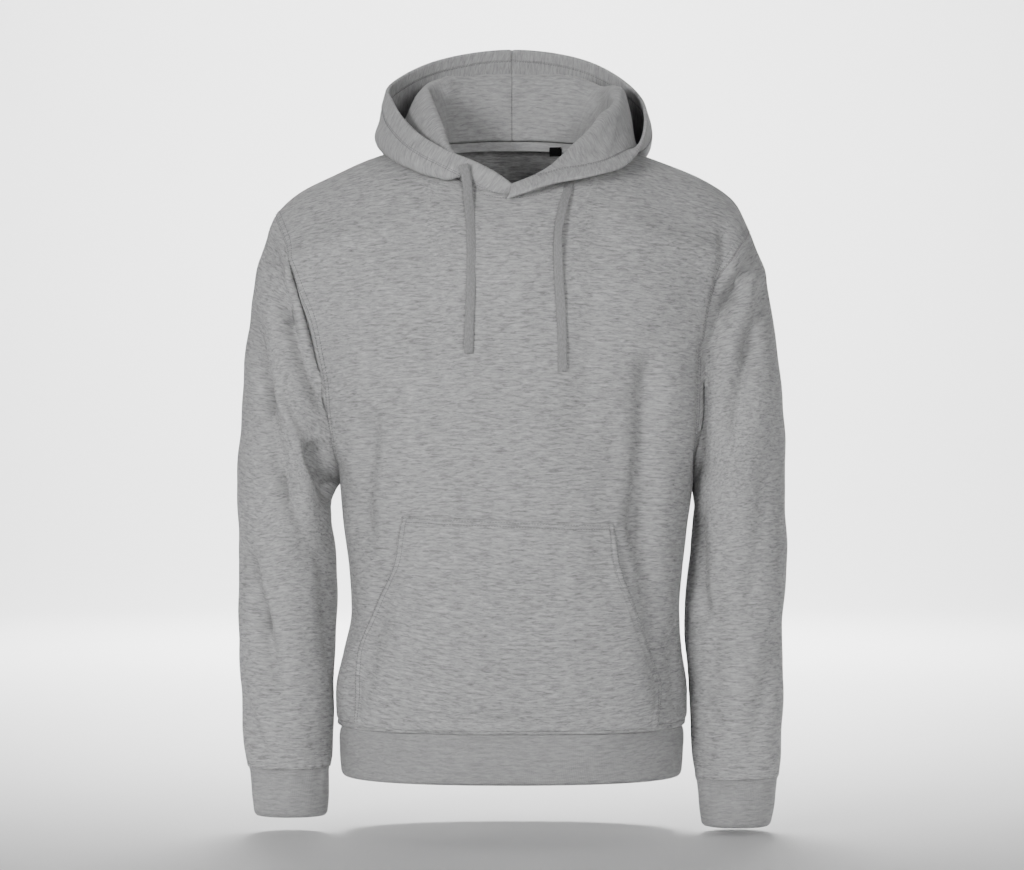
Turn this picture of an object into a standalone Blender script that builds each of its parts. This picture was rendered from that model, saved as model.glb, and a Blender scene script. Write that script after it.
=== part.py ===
"""Pullover hoodie, filled out and hollow, in metres: +Z up, the front faces -Y.

The origin is inside the neck, near the height of the shoulders' inner ends. Left is -X and
right is +X, as seen from the front. Every cloth piece is a wall of even thickness on a middle
surface, a grid of rows and columns that a function works out from the sizes below.
"""

import bpy
import numpy as np

FRONT = -1
BACK = 1
LEFT = -1
RIGHT = 1

# Cloth and the clearances that keep neighbours apart
BODY_CLOTH = 0.0026
HOOD_CLOTH = 0.0036
CASING_CLOTH = 0.0048
RIB_CLOTH = 0.0034
TAPE_CLOTH = 0.0012
SEAM_GAP = 0.0004
NECK_GAP = 0.0010
LAY_GAP = 0.0005

# Body
SECTION_POWER = 0.85
DEPTH = {FRONT: 0.146, BACK: 0.122}
ROUNDING = {FRONT: 0.170, BACK: 0.120}
NECK_HALF = 0.108
NECK_Z = {FRONT: -0.049, BACK: 0.028}
NECK_POWER = 2.2
UNDERARM_Z = -0.372
HEM_SEAM_Z = -0.650
HEM_END_Z = -0.706
ARM_ROWS = 12
LOW_ROWS = 7
NECK_COLUMNS = 5
SHOULDER_COLUMNS = 5

# half width of the ridge of the shoulders, its height on each hand, and how far back it lies
SHOULDER = {
    "x": (0.000, 0.060, 0.108, 0.155, 0.196, 0.238, 0.256, 0.274),
    LEFT: (0.040, 0.033, 0.018, 0.003, -0.014, -0.035, -0.048, -0.0665),
    RIGHT: (0.040, 0.033, 0.018, 0.003, -0.014, -0.035, -0.050, -0.0850),
    "back": (0.022, 0.018, 0.012, 0.007, 0.003, 0.000, 0.000, 0.000),
}
# side edge of the body seen from the front: the armhole seam, then the side seam
SIDE = {
    LEFT: {
        "z": (-0.065, -0.091, -0.126, -0.154, -0.187, -0.228, -0.267, -0.299, -0.353, -0.372,
              -0.427, -0.474, -0.520, -0.566, -0.612, -0.635, -0.650),
        "x": (0.272, 0.260, 0.246, 0.238, 0.226, 0.217, 0.210, 0.208, 0.200, 0.198,
              0.192, 0.186, 0.184, 0.193, 0.202, 0.201, 0.198),
    },
    RIGHT: {
        "z": (-0.085, -0.107, -0.132, -0.157, -0.187, -0.217, -0.256, -0.299, -0.340, -0.372,
              -0.427, -0.474, -0.515, -0.566, -0.612, -0.635, -0.650),
        "x": (0.274, 0.256, 0.240, 0.230, 0.222, 0.219, 0.217, 0.216, 0.211, 0.207,
              0.200, 0.195, 0.191, 0.195, 0.201, 0.201, 0.197),
    },
}
# how far round the section a panel reaches, from the shoulder's tip (0) to the underarm (1)
REACH = {"down": (0.0, 0.3, 0.6, 0.85, 1.0), "degrees": (60.0, 62.0, 65.0, 73.0, 90.0)}
# depth of the body down its height, as a share of the chest's
FULLNESS = {
    "z": (-0.72, -0.65, -0.60, -0.50, -0.30, 0.0),
    "share": (0.955, 0.985, 1.01, 0.985, 1.0, 1.0),
}

# Sleeves: a ring for each row, by its outer and its inner edge seen from the front
SLEEVE = {
    LEFT: (
        # outer x, outer z, inner x, inner z, half depth, middle y
        (0.2720, -0.065, 0.1980, -0.372, 0.080, 0.000),
        (0.2840, -0.096, 0.2050, -0.384, 0.083, 0.000),
        (0.2960, -0.135, 0.2085, -0.396, 0.083, 0.000),
        (0.3015, -0.180, 0.2085, -0.410, 0.082, 0.001),
        (0.3080, -0.235, 0.2070, -0.427, 0.080, 0.002),
        (0.3130, -0.295, 0.2050, -0.450, 0.077, 0.003),
        (0.3145, -0.360, 0.2030, -0.478, 0.073, 0.003),
        (0.3140, -0.430, 0.2025, -0.515, 0.069, 0.002),
        (0.3130, -0.500, 0.2030, -0.555, 0.065, -0.001),
        (0.3125, -0.565, 0.2050, -0.600, 0.061, -0.006),
        (0.3110, -0.625, 0.2070, -0.645, 0.056, -0.012),
        (0.3080, -0.672, 0.2080, -0.680, 0.050, -0.018),
        (0.3020, -0.697, 0.2095, -0.697, 0.043, -0.021),
    ),
    RIGHT: (
        (0.2740, -0.085, 0.2070, -0.372, 0.080, 0.000),
        (0.2860, -0.116, 0.2110, -0.385, 0.083, 0.000),
        (0.2955, -0.153, 0.2115, -0.398, 0.083, 0.000),
        (0.3020, -0.195, 0.2090, -0.413, 0.082, 0.001),
        (0.3075, -0.247, 0.2070, -0.432, 0.080, 0.002),
        (0.3115, -0.305, 0.2055, -0.456, 0.077, 0.003),
        (0.3140, -0.370, 0.2040, -0.485, 0.073, 0.003),
        (0.3150, -0.437, 0.2025, -0.522, 0.069, 0.002),
        (0.3138, -0.508, 0.2025, -0.562, 0.065, -0.001),
        (0.3120, -0.575, 0.2050, -0.607, 0.061, -0.006),
        (0.3100, -0.637, 0.2065, -0.653, 0.056, -0.012),
        (0.3085, -0.685, 0.2090, -0.690, 0.050, -0.018),
        (0.3050, -0.708, 0.2115, -0.710, 0.043, -0.021),
    ),
}
SLEEVE_ROWS = 23
SLEEVE_SIDES = 2 * ARM_ROWS
ARMHOLE_FADE = 0.30
# Cuffs: outer and inner edge at the seam and at the end
CUFF = {LEFT: (0.2985, 0.2130, 0.2940, 0.2135), RIGHT: (0.3020, 0.2135, 0.2950, 0.2190)}
CUFF_HEIGHT = 0.055
CUFF_DEPTH = 0.036

# Hood: the crest it folds over, the valley behind the crest and the rim, front to back
HOOD = {
    LEFT: (
        # along, crest x, y, z, valley x, y, z, rim x, y, z, fold half width
        (0.00, -0.0006, -0.121, -0.045, -0.0001, -0.121, -0.039, 0.0008, -0.122, -0.032, 0),
        (0.12, -0.0357, -0.119, -0.034, -0.0346, -0.12, -0.0285, -0.0313, -0.119, -0.0194, 0),
        (0.26, -0.0785, -0.104, -0.0058, -0.0784, -0.107, 0.0006, -0.074, -0.105, 0.0165, 0),
        (0.42, -0.084, -0.062, 0.0274, -0.1179, -0.066, 0.0089, -0.1122, -0.067, 0.0372, 0.0042),
        (0.56, -0.0957, -0.008, 0.0684, -0.1463, -0.009, 0.0119, -0.1381, -0.014, 0.0643, 0.007),
        (0.70, -0.0959, 0.044, 0.0857, -0.1399, 0.064, 0.0056, -0.1418, 0.052, 0.0913, 0.009),
        (0.85, -0.0578, 0.074, 0.0938, -0.0924, 0.142, -0.0703, -0.0879, 0.102, 0.1254, 0.013),
        (1.00, -0.0004, 0.082, 0.0958, -0.0004, 0.158, -0.0982, -0.0004, 0.118, 0.1398, 0.015),
    ),
    RIGHT: (
        # along, crest x, y, z, valley x, y, z, rim x, y, z, fold half width
        (0.00, 0.0004, -0.121, -0.045, 0.0009, -0.121, -0.039, 0.0018, -0.122, -0.032, 0),
        (0.12, 0.0325, -0.109, -0.0242, 0.039, -0.124, -0.0266, 0.039, -0.131, -0.0349, 0.0018),
        (0.26, 0.071, -0.086, 0.0082, 0.0874, -0.106, -0.0105, 0.087, -0.122, -0.0264, 0.006),
        (0.42, 0.0969, -0.048, 0.0448, 0.1224, -0.0675, 0.0122, 0.132, -0.083, -0.0034, 0.0065),
        (0.56, 0.12, -0.004, 0.0677, 0.1451, -0.01, 0.0118, 0.1527, -0.022, 0.0336, 0.006),
        (0.70, 0.117, 0.046, 0.0848, 0.1469, 0.064, 0.0045, 0.1476, 0.05, 0.0794, 0.009),
        (0.85, 0.0637, 0.074, 0.0938, 0.0936, 0.142, -0.0703, 0.0903, 0.102, 0.1242, 0.013),
        (1.00, 0.0004, 0.082, 0.0958, 0.0004, 0.158, -0.0982, 0.0004, 0.118, 0.1398, 0.015),
    ),
}
NECK_SIDE = 0.58
HOOD_COLUMNS = 25
HOOD_ROWS = 23
HOOD_RISE = {"along": (0.0, 0.5, 0.8, 1.0), "lift": (0.008, 0.008, 0.004, 0.003)}
FOLD_START = 0.004
BAG_RISE = 0.030
CASING_SHARE = 0.10

# Neck tape and the size label's loop
TAPE_WIDTH = 0.010
TAPE_TOP = 0.0015
TAPE_INSET = 0.0035
TAPE_START = 0.68
TAPE_COLUMNS = 9
LABEL_WIDTH = 0.013
LABEL_DROP = 0.012
LABEL_ALONG = 0.84

# Kangaroo pocket: half width on each hand down its height
POCKET = {
    "z": (-0.408, -0.440, -0.470, -0.497, -0.513, -0.570, -0.600, -0.646),
    LEFT: (0.122, 0.1255, 0.132, 0.1455, 0.152, 0.174, 0.176, 0.176),
    RIGHT: (0.113, 0.116, 0.1225, 0.132, 0.137, 0.158, 0.1675, 0.162),
}
POCKET_TILT = 0.009
POCKET_GAP = 0.0018
POCKET_NEAR = 0.004
POCKET_COLUMNS = 15
POCKET_ROWS = 11

# Drawcord ends: flat, on a smooth curve through these points seen from the front
CORD_WIDTH = 0.0108
CORD_THICK = 0.0020
CORD_ROWS = 26
CORD_NEAR = 0.006
CORD = {
    LEFT: (
        # x, z, clear of what is behind it by, turn of the flat side in degrees
        (-0.0540, -0.0150, 0.0006, 8.0),
        (-0.0510, -0.0300, 0.0008, 6.0),
        (-0.0490, -0.0480, 0.0016, 4.0),
        (-0.0468, -0.0712, 0.0010, 6.0),
        (-0.0451, -0.1161, 0.0003, 8.0),
        (-0.0457, -0.1595, 0.0000, 7.0),
        (-0.0473, -0.1952, 0.0000, 6.0),
        (-0.0479, -0.2274, 0.0000, 6.0),
    ),
    RIGHT: (
        (0.0618, -0.0450, 0.0006, -4.0),
        (0.0590, -0.0540, 0.0008, -8.0),
        (0.0557, -0.0680, 0.0010, -10.0),
        (0.0507, -0.0983, 0.0016, -26.0),
        (0.0511, -0.1250, 0.0010, -8.0),
        (0.0534, -0.1685, 0.0008, -3.0),
        (0.0557, -0.2130, 0.0006, 0.0),
        (0.0557, -0.2475, 0.0006, 0.0),
    ),
}

# Largest folds: soft troughs pressed into a wall between two points seen from its own side
FOLDS = {
    "sleeve_left": (
        # start x, z, end x, z, depth, half width, front or back
        (-0.284, -0.116, -0.226, -0.267, 0.0075, 0.012, FRONT),
        (-0.300, -0.198, -0.255, -0.375, 0.0065, 0.013, FRONT),
        (-0.302, -0.508, -0.278, -0.602, 0.0055, 0.012, FRONT),
        (-0.224, -0.335, -0.206, -0.420, 0.0150, 0.015, FRONT),
        (-0.275, -0.130, -0.235, -0.260, 0.0060, 0.013, BACK),
        (-0.215, -0.420, -0.250, -0.500, 0.0060, 0.013, BACK),
    ),
    "sleeve_right": (
        (0.276, -0.126, 0.230, -0.218, 0.0060, 0.011, FRONT),
        (0.285, -0.163, 0.270, -0.240, 0.0050, 0.011, FRONT),
        (0.215, -0.300, 0.213, -0.400, 0.0070, 0.014, FRONT),
        (0.215, -0.455, 0.206, -0.530, 0.0050, 0.011, FRONT),
        (0.278, -0.150, 0.236, -0.280, 0.0060, 0.013, BACK),
        (0.220, -0.430, 0.255, -0.510, 0.0060, 0.013, BACK),
    ),
    "front_panel": (
        (0.150, -0.277, 0.148, -0.560, 0.0060, 0.022, FRONT),
        (-0.158, -0.370, -0.155, -0.560, 0.0060, 0.022, FRONT),
        (0.176, -0.560, 0.190, -0.640, 0.0040, 0.018, FRONT),
        (-0.180, -0.540, -0.190, -0.640, 0.0040, 0.016, FRONT),
    ),
    "back_panel": (
        (0.140, -0.300, 0.130, -0.560, 0.0060, 0.024, BACK),
        (-0.145, -0.320, -0.150, -0.590, 0.0060, 0.024, BACK),
        (0.020, -0.480, 0.030, -0.640, 0.0040, 0.022, BACK),
    ),
}

GREY = (0.352, 0.352, 0.356, 1.0)
DARK_GREY = (0.300, 0.300, 0.304, 1.0)
BLACK = (0.012, 0.012, 0.013, 1.0)
ROUGHNESS = 0.95


def clear_scene():
    """Remove what the new file starts with."""
    for thing in list(bpy.data.objects):
        bpy.data.objects.remove(thing)


def unit(vectors):
    """Vectors at length 1."""
    return vectors / np.maximum(np.linalg.norm(vectors, axis=-1, keepdims=True), 1e-12)


def hermite(where, knots, values, slopes):
    """Cubic pieces between knots, from values and slopes there."""
    span = np.clip(np.searchsorted(knots, where, side="right") - 1, 0, len(knots) - 2)
    step = knots[span + 1] - knots[span]
    t = (where - knots[span]) / step
    shape = (-1,) + (1,) * (values.ndim - 1)
    t = t.reshape(shape)
    rise = values[span] * (1 + 2 * t) * (1 - t) ** 2 + values[span + 1] * t * t * (3 - 2 * t)
    lean = slopes[span] * t * (1 - t) ** 2 - slopes[span + 1] * t * t * (1 - t)
    return rise + lean * step.reshape(shape)


def smooth(where, knots, values):
    """A smooth curve through the values at the knots that never overshoots them."""
    knots = np.asarray(knots, float)
    values = np.asarray(values, float)
    if knots[0] > knots[-1]:
        knots = knots[::-1]
        values = values[::-1]
    slope = np.diff(values) / np.diff(knots)
    product = slope[:-1] * slope[1:]
    total = np.where(product > 0, slope[:-1] + slope[1:], 1.0)
    inner = np.where(product > 0, 2.0 * product / total, 0.0)
    slopes = np.concatenate([slope[:1], inner, slope[-1:]])
    where = np.asarray(where, float)
    flat = np.clip(where.ravel(), knots[0], knots[-1])
    return hermite(flat, knots, values, slopes).reshape(where.shape)


def rounded(where, knots, rows):
    """A round curve through rows of numbers, for routes that turn back."""
    knots = np.asarray(knots, float)
    rows = np.asarray(rows, float)
    return hermite(where, knots, rows, np.gradient(rows, knots, axis=0))


def bspline(controls, count):
    """Rows of a clamped cubic B-spline; controls is columns x controls x 3."""
    last = controls.shape[1] - 1
    knots = np.concatenate([[0.0] * 3, np.linspace(0.0, 1.0, last - 1), [1.0] * 3])
    where = np.linspace(0.0, 1.0, count)
    where[-1] = 1.0 - 1e-9
    basis = [((knots[i] <= where) & (where < knots[i + 1])) * 1.0 for i in range(len(knots) - 1)]
    for degree in (1, 2, 3):
        raised = []
        for i in range(len(knots) - 1 - degree):
            low = knots[i + degree] - knots[i]
            high = knots[i + degree + 1] - knots[i + 1]
            rising = (where - knots[i]) / low * basis[i] if low > 0 else 0.0 * where
            falling = (knots[i + degree + 1] - where) / high * basis[i + 1] if high > 0 else 0.0 * where
            raised.append(rising + falling)
        basis = raised
    return np.einsum("kr,ckd->rcd", np.array(basis), controls)


def grid_normals(grid, closed):
    """Unit normals of a grid of points, down the rows turned to across the columns."""
    down = np.gradient(grid, axis=0)
    if closed:
        across = np.roll(grid, -1, axis=1) - np.roll(grid, 1, axis=1)
    else:
        across = np.gradient(grid, axis=1)
    return unit(np.cross(down, across))


def press_folds(grid, normal, folds):
    """Soft troughs along lines, on the side of the garment that each is seen from."""
    moved = grid.copy()
    for x0, z0, x1, z1, depth, half, side in folds:
        seen = np.clip(normal[..., 1] * side * 3.0, 0.0, 1.0)
        run = np.array([x1 - x0, z1 - z0])
        length = np.hypot(*run)
        run = run / length
        offset = grid[..., [0, 2]] - (x0, z0)
        along = offset @ run
        beside = offset[..., 0] * run[1] - offset[..., 1] * run[0]
        past = np.maximum(np.maximum(-along, along - length), 0.0)
        dip = np.exp(-((beside / half) ** 2) - (past / (1.6 * half)) ** 2)
        moved -= normal * (depth * dip * seen)[..., None]
    return moved


def add_mesh(name, points, faces, colour):
    """One named object with its own material."""
    mesh = bpy.data.meshes.new(name)
    mesh.from_pydata([tuple(p) for p in points], [], [tuple(int(i) for i in f) for f in faces])
    mesh.shade_smooth()
    thing = bpy.data.objects.new(name, mesh)
    bpy.context.scene.collection.objects.link(thing)
    material = bpy.data.materials.new(name)
    material.use_nodes = True
    shader = material.node_tree.nodes["Principled BSDF"]
    shader.inputs["Base Color"].default_value = colour
    shader.inputs["Roughness"].default_value = ROUGHNESS
    shader.inputs["Metallic"].default_value = 0.0
    mesh.materials.append(material)
    return thing


def add_wall(name, grid, normal, thickness, closed=False, colour=GREY, shift=0.0):
    """A closed wall about a grid of middle points; thickness is one number, or one for each row."""
    rows, columns = grid.shape[:2]
    half = np.asarray(thickness, float).reshape(-1, 1, 1) / 2
    outer = grid + normal * (half + shift)
    inner = grid - normal * (half - shift)
    count = rows * columns
    index = np.arange(count).reshape(rows, columns)
    wrap = columns if closed else columns - 1
    faces = []
    for r in range(rows - 1):
        for c in range(wrap):
            d = (c + 1) % columns
            quad = (index[r, c], index[r + 1, c], index[r + 1, d], index[r, d])
            falling = np.linalg.norm(grid[r, c] - grid[r + 1, d])
            rising = np.linalg.norm(grid[r + 1, c] - grid[r, d])
            if rising < falling:
                quad = quad[1:] + quad[:1]
            for face in (quad[:3], (quad[0], quad[2], quad[3])):
                faces.append(face)
                faces.append(tuple(count + corner for corner in face[::-1]))
    for r, way in ((0, 1), (rows - 1, -1)):
        for c in range(wrap):
            d = (c + 1) % columns
            quad = (index[r, c], index[r, d], count + index[r, d], count + index[r, c])
            faces.append(quad[::way])
    if not closed:
        for c, way in ((0, -1), (columns - 1, 1)):
            for r in range(rows - 1):
                quad = (index[r, c], index[r + 1, c], count + index[r + 1, c], count + index[r, c])
                faces.append(quad[::way])
    plain = np.cross(grid[1, 0] - grid[0, 0], grid[0, 1] - grid[0, 0])
    if np.dot(plain, normal[0, 0]) < 0:
        faces = [face[::-1] for face in faces]
    return add_mesh(name, np.concatenate([outer.reshape(-1, 3), inner.reshape(-1, 3)]), faces, colour)


# Body -------------------------------------------------------------------------------------


def side_edge(z, hand):
    """Half width of the body at a height, on one hand."""
    return smooth(z, SIDE[hand]["z"], SIDE[hand]["x"])


def body_y(x, z, shape, hand, side):
    """Depth of the body: a quarter ellipse down from the shoulder's ridge, times the section."""
    ridge = smooth(x, SHOULDER["x"], SHOULDER[hand])
    back = smooth(x, SHOULDER["x"], SHOULDER["back"])
    drop = np.clip((ridge - z) / ROUNDING[side], 0.0, 1.0)
    swell = np.sqrt(1.0 - (1.0 - drop) ** 2)
    return side * DEPTH[side] * smooth(z, FULLNESS["z"], FULLNESS["share"]) * swell * shape + back * (1 - drop)


def neck_z(x, side):
    """Height of the neck edge at a half width."""
    shoulder = smooth(NECK_HALF, SHOULDER["x"], SHOULDER[LEFT])
    return NECK_Z[side] + (shoulder - NECK_Z[side]) * (x / NECK_HALF) ** NECK_POWER


def panel_turns(hand):
    """Shares of the reach for one hand's columns, with one column on the neck's side point."""
    reach = np.radians(REACH["degrees"][0])
    neck = np.arcsin((NECK_HALF / SIDE[hand]["x"][0]) ** (1 / SECTION_POWER) * np.sin(reach)) / reach
    inside = np.linspace(0.0, neck, NECK_COLUMNS + 1)
    return np.concatenate([inside, np.linspace(neck, 1.0, SHOULDER_COLUMNS + 1)[1:]])


def half_panel(hand, side):
    """Middle surface of one hand of the front or back, rows from the top edge to the hem seam."""
    turns = panel_turns(hand)
    tip_x, tip_z = SIDE[hand]["x"][0], SIDE[hand]["z"][0]
    reach = np.radians(REACH["degrees"][0])
    top_x = tip_x * (np.sin(reach * turns) / np.sin(reach)) ** SECTION_POWER
    inside = np.arange(len(turns)) < NECK_COLUMNS
    top_z = np.where(inside, neck_z(np.minimum(top_x, NECK_HALF), side),
                     smooth(top_x, SHOULDER["x"], SHOULDER[hand]))
    top_z[-1] = tip_z
    down = (1 - np.cos(np.linspace(0.0, np.pi, ARM_ROWS + 1))) / 2
    reach = np.radians(smooth(down, REACH["down"], REACH["degrees"]))
    edge = side_edge(tip_z + (UNDERARM_Z - tip_z) * down, hand)
    low = np.linspace(UNDERARM_Z, HEM_SEAM_Z, LOW_ROWS + 1)[1:]
    z = np.concatenate([top_z + (UNDERARM_Z - top_z) * down[:, None], low[:, None] + 0 * turns])
    reach = np.concatenate([reach, np.full(LOW_ROWS, np.pi / 2)])[:, None]
    edge = np.concatenate([edge, side_edge(low, hand)])[:, None]
    x = edge * (np.sin(reach * turns) / np.sin(reach)) ** SECTION_POWER
    shape = np.maximum(np.cos(reach * turns), 0.0) ** SECTION_POWER
    return np.stack([hand * x, body_y(x, z, shape, hand, side), z], axis=2)


def panel(side, name):
    """Middle surface and normals of the whole front or back, from -X to +X."""
    left = half_panel(LEFT, side)
    right = half_panel(RIGHT, side)
    grid = np.concatenate([left[:, ::-1], right[:, 1:]], axis=1)
    normal = grid_normals(grid, False)
    if np.sum(normal[ARM_ROWS, :, 1]) * side < 0:
        normal = -normal
    grid = press_folds(grid, normal, FOLDS[name])
    shoulder = np.r_[0:SHOULDER_COLUMNS + 1, -SHOULDER_COLUMNS - 1:0]
    normal[0, shoulder, 1] = 0.0
    normal[ARM_ROWS + 1:, [0, -1], 1] = 0.0
    normal[-1, :, 2] = 0.0
    return grid, unit(normal)


def armhole_ring(panels, hand):
    """Points and normals of an armhole's edge: top, down the front, underarm, up the back."""
    column = 0 if hand == LEFT else -1
    ring = []
    for part in (0, 1):
        front = panels[FRONT][part][:ARM_ROWS + 1, column]
        back = panels[BACK][part][:ARM_ROWS + 1, column]
        mixed = np.concatenate([front, back[-2:0:-1]])
        mixed[[0, ARM_ROWS]] = (front[[0, -1]] + back[[0, -1]]) / 2
        ring.append(mixed)
    return ring


def mitre(panels, hand, normal):
    """Give both edges of an armhole's seam the same normal, halfway between the two cloths."""
    column = 0 if hand == LEFT else -1
    panels[FRONT][1][:ARM_ROWS + 1, column] = normal[:ARM_ROWS + 1]
    panels[BACK][1][:ARM_ROWS + 1, column] = np.concatenate([normal[:1], normal[:ARM_ROWS - 1:-1]])


def open_seams(panels):
    """Part the two panels at shoulders and sides, and draw them in from the armholes."""
    shoulder = np.r_[0:SHOULDER_COLUMNS + 1, -SHOULDER_COLUMNS - 1:0]
    for side in (FRONT, BACK):
        grid = panels[side][0]
        grid[:ARM_ROWS + 1, 0, 0] += SEAM_GAP
        grid[:ARM_ROWS + 1, -1, 0] -= SEAM_GAP
        grid[0, shoulder, 1] += side * SEAM_GAP
        grid[ARM_ROWS:, [0, -1], 1] += side * SEAM_GAP
        grid[-1, :, 2] += 0.5 * SEAM_GAP


def facets(grid):
    """The triangles of a grid, cut along the shorter diagonal as add_wall cuts them."""
    a, b, c, d = grid[:-1, :-1], grid[1:, :-1], grid[1:, 1:], grid[:-1, 1:]
    rising = (np.linalg.norm(b - d, axis=2) < np.linalg.norm(a - c, axis=2))[..., None, None]
    first = np.where(rising, np.stack([b, c, d], axis=2), np.stack([a, b, c], axis=2))
    second = np.where(rising, np.stack([b, d, a], axis=2), np.stack([a, c, d], axis=2))
    return np.concatenate([first.reshape(-1, 3, 3), second.reshape(-1, 3, 3)])


def depth_at(triangles, x, z):
    """The most forward depth of the triangles at a place seen from the front."""
    place = np.array([x, z])
    corner = triangles[:, 0][:, [0, 2]]
    one = triangles[:, 1][:, [0, 2]] - corner
    two = triangles[:, 2][:, [0, 2]] - corner
    away = place - corner
    area = one[:, 0] * two[:, 1] - one[:, 1] * two[:, 0]
    area = np.where(np.abs(area) < 1e-12, 1e-12, area)
    u = (away[:, 0] * two[:, 1] - away[:, 1] * two[:, 0]) / area
    v = (one[:, 0] * away[:, 1] - one[:, 1] * away[:, 0]) / area
    inside = (u > -1e-6) & (v > -1e-6) & (u + v < 1 + 2e-6)
    y = triangles[:, 0, 1] * (1 - u - v) + triangles[:, 1, 1] * u + triangles[:, 2, 1] * v
    if not inside.any():
        return triangles[np.argmin(np.sum(away**2, axis=1)), 0, 1]
    return y[inside].min()


def build_hem():
    """Folded hem band: a little narrower than the body, its end rounded in."""
    angle = np.linspace(0.0, np.pi / 2, 11)
    top = HEM_SEAM_Z - SEAM_GAP
    rows = []
    for share, inset in ((0.0, 0.0005), (0.08, 0.0025), (0.5, 0.0025), (0.92, 0.0045), (1.0, 0.0060)):
        z = top - share * (top - HEM_END_Z)
        ring = []
        for hand, side, turn_back in ((RIGHT, FRONT, False), (RIGHT, BACK, True),
                                      (LEFT, BACK, False), (LEFT, FRONT, True)):
            x = (side_edge(HEM_SEAM_Z, hand) - inset) * np.sin(angle) ** SECTION_POWER
            shape = (np.cos(angle).clip(0.0) ** SECTION_POWER)
            y = body_y(0 * x, z + 0 * x, shape, hand, side) - side * inset * shape
            quarter = np.stack([hand * x, y, z + 0 * x], axis=1)
            ring.append((quarter[::-1] if turn_back else quarter)[:-1])
        rows.append(np.concatenate(ring))
    grid = np.array(rows)
    normal = outward_normals(grid)
    normal[[0, -1], :, 2] = 0.0
    add_wall("hem_band", grid, unit(normal), RIB_CLOTH, closed=True, colour=DARK_GREY)


def outward_normals(grid):
    """Normals of a closed tube, away from its middle."""
    normal = grid_normals(grid, True)
    away = grid - grid.mean(axis=1, keepdims=True)
    return normal if np.sum(normal * away) > 0 else -normal


# Sleeves ----------------------------------------------------------------------------------


def sleeve(hand, name, armhole):
    """Middle surface of a sleeve: rings from the armhole to the cuff's seam."""
    table = np.array(SLEEVE[hand])
    where = np.linspace(0.0, 1.0, SLEEVE_ROWS)
    knots = np.linspace(0.0, 1.0, len(table))
    outer_x, outer_z, inner_x, inner_z, deep, middle = (
        smooth(where, knots, table[:, i])[:, None] for i in range(6)
    )
    angle = np.arange(SLEEVE_SIDES)[None, :] / SLEEVE_SIDES * 2 * np.pi
    x = hand * ((outer_x + inner_x) / 2 + (outer_x - inner_x) / 2 * np.cos(angle))
    z = (outer_z + inner_z) / 2 + (outer_z - inner_z) / 2 * np.cos(angle)
    grid = np.stack([x, middle - deep * np.sin(angle), z], axis=2)
    fade = np.clip(1.0 - where / ARMHOLE_FADE, 0.0, 1.0)
    grid = grid + (fade * fade * (3 - 2 * fade))[:, None, None] * (armhole - grid[0])
    normal = outward_normals(grid)
    pressed = press_folds(grid, normal, FOLDS[name])
    pressed[0] = grid[0]
    normal[-1, :, 2] = 0.0
    return pressed, unit(normal)


def build_cuff(name, hand, ring):
    """Cuff: draws the sleeve in over a short step, then runs down to its folded end."""
    outer_top, inner_top, outer_end, inner_end = CUFF[hand]
    angle = np.arange(SLEEVE_SIDES) / SLEEVE_SIDES * 2 * np.pi
    top_z = ring[:, 2].mean() - SEAM_GAP
    middle_y = ring[:, 1].mean()
    rows = []
    for down, share, wider in ((0.0, 0.0, 0.0015), (0.12, 0.0, 0.0), (0.55, 0.5, 0.0010),
                               (0.93, 1.0, 0.0), (1.0, 1.0, -0.0015)):
        outer = outer_top + (outer_end - outer_top) * share + wider
        inner = inner_top + (inner_end - inner_top) * share - wider
        x = hand * ((outer + inner) / 2 + (outer - inner) / 2 * np.cos(angle))
        y = middle_y - (CUFF_DEPTH + 2 * wider) * np.sin(angle)
        tilt = (ring[:, 2] - ring[:, 2].mean()) * (1 - down)
        rows.append(np.stack([x, y, top_z + tilt - down * CUFF_HEIGHT], axis=1))
    grid = np.array(rows)
    normal = outward_normals(grid)
    normal[[0, -1], :, 2] = 0.0
    add_wall(name, grid, unit(normal), RIB_CLOTH, closed=True, colour=DARK_GREY)


# Hood -------------------------------------------------------------------------------------


def neck_line(panels, hand):
    """The neck edge on one hand, front to back: points, normals, and the cloth's way across it."""
    middle = NECK_COLUMNS + SHOULDER_COLUMNS
    columns = middle + hand * np.arange(NECK_COLUMNS + 1)
    lines = []
    for side in (FRONT, BACK):
        grid, normal = panels[side]
        lines.append((grid[0, columns], normal[0, columns]))
    joined = []
    for front, back in zip(*lines):
        side_point = (front[-1:] + back[-1:]) / 2
        joined.append(np.concatenate([front[:-1], side_point, back[-2::-1]]))
    points, normal = joined
    normal = unit(normal)
    rise = np.cross(normal, np.gradient(points, axis=0)) * hand
    rise[[0, -1], 0] = 0.0
    steps = np.linalg.norm(np.diff(points, axis=0), axis=1)
    first = np.cumsum(steps[:NECK_COLUMNS]) / steps[:NECK_COLUMNS].sum() * NECK_SIDE
    last = NECK_SIDE + np.cumsum(steps[NECK_COLUMNS:]) / steps[NECK_COLUMNS:].sum() * (1 - NECK_SIDE)
    return np.concatenate([[0.0], first, last]), points, normal, unit(rise)


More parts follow.
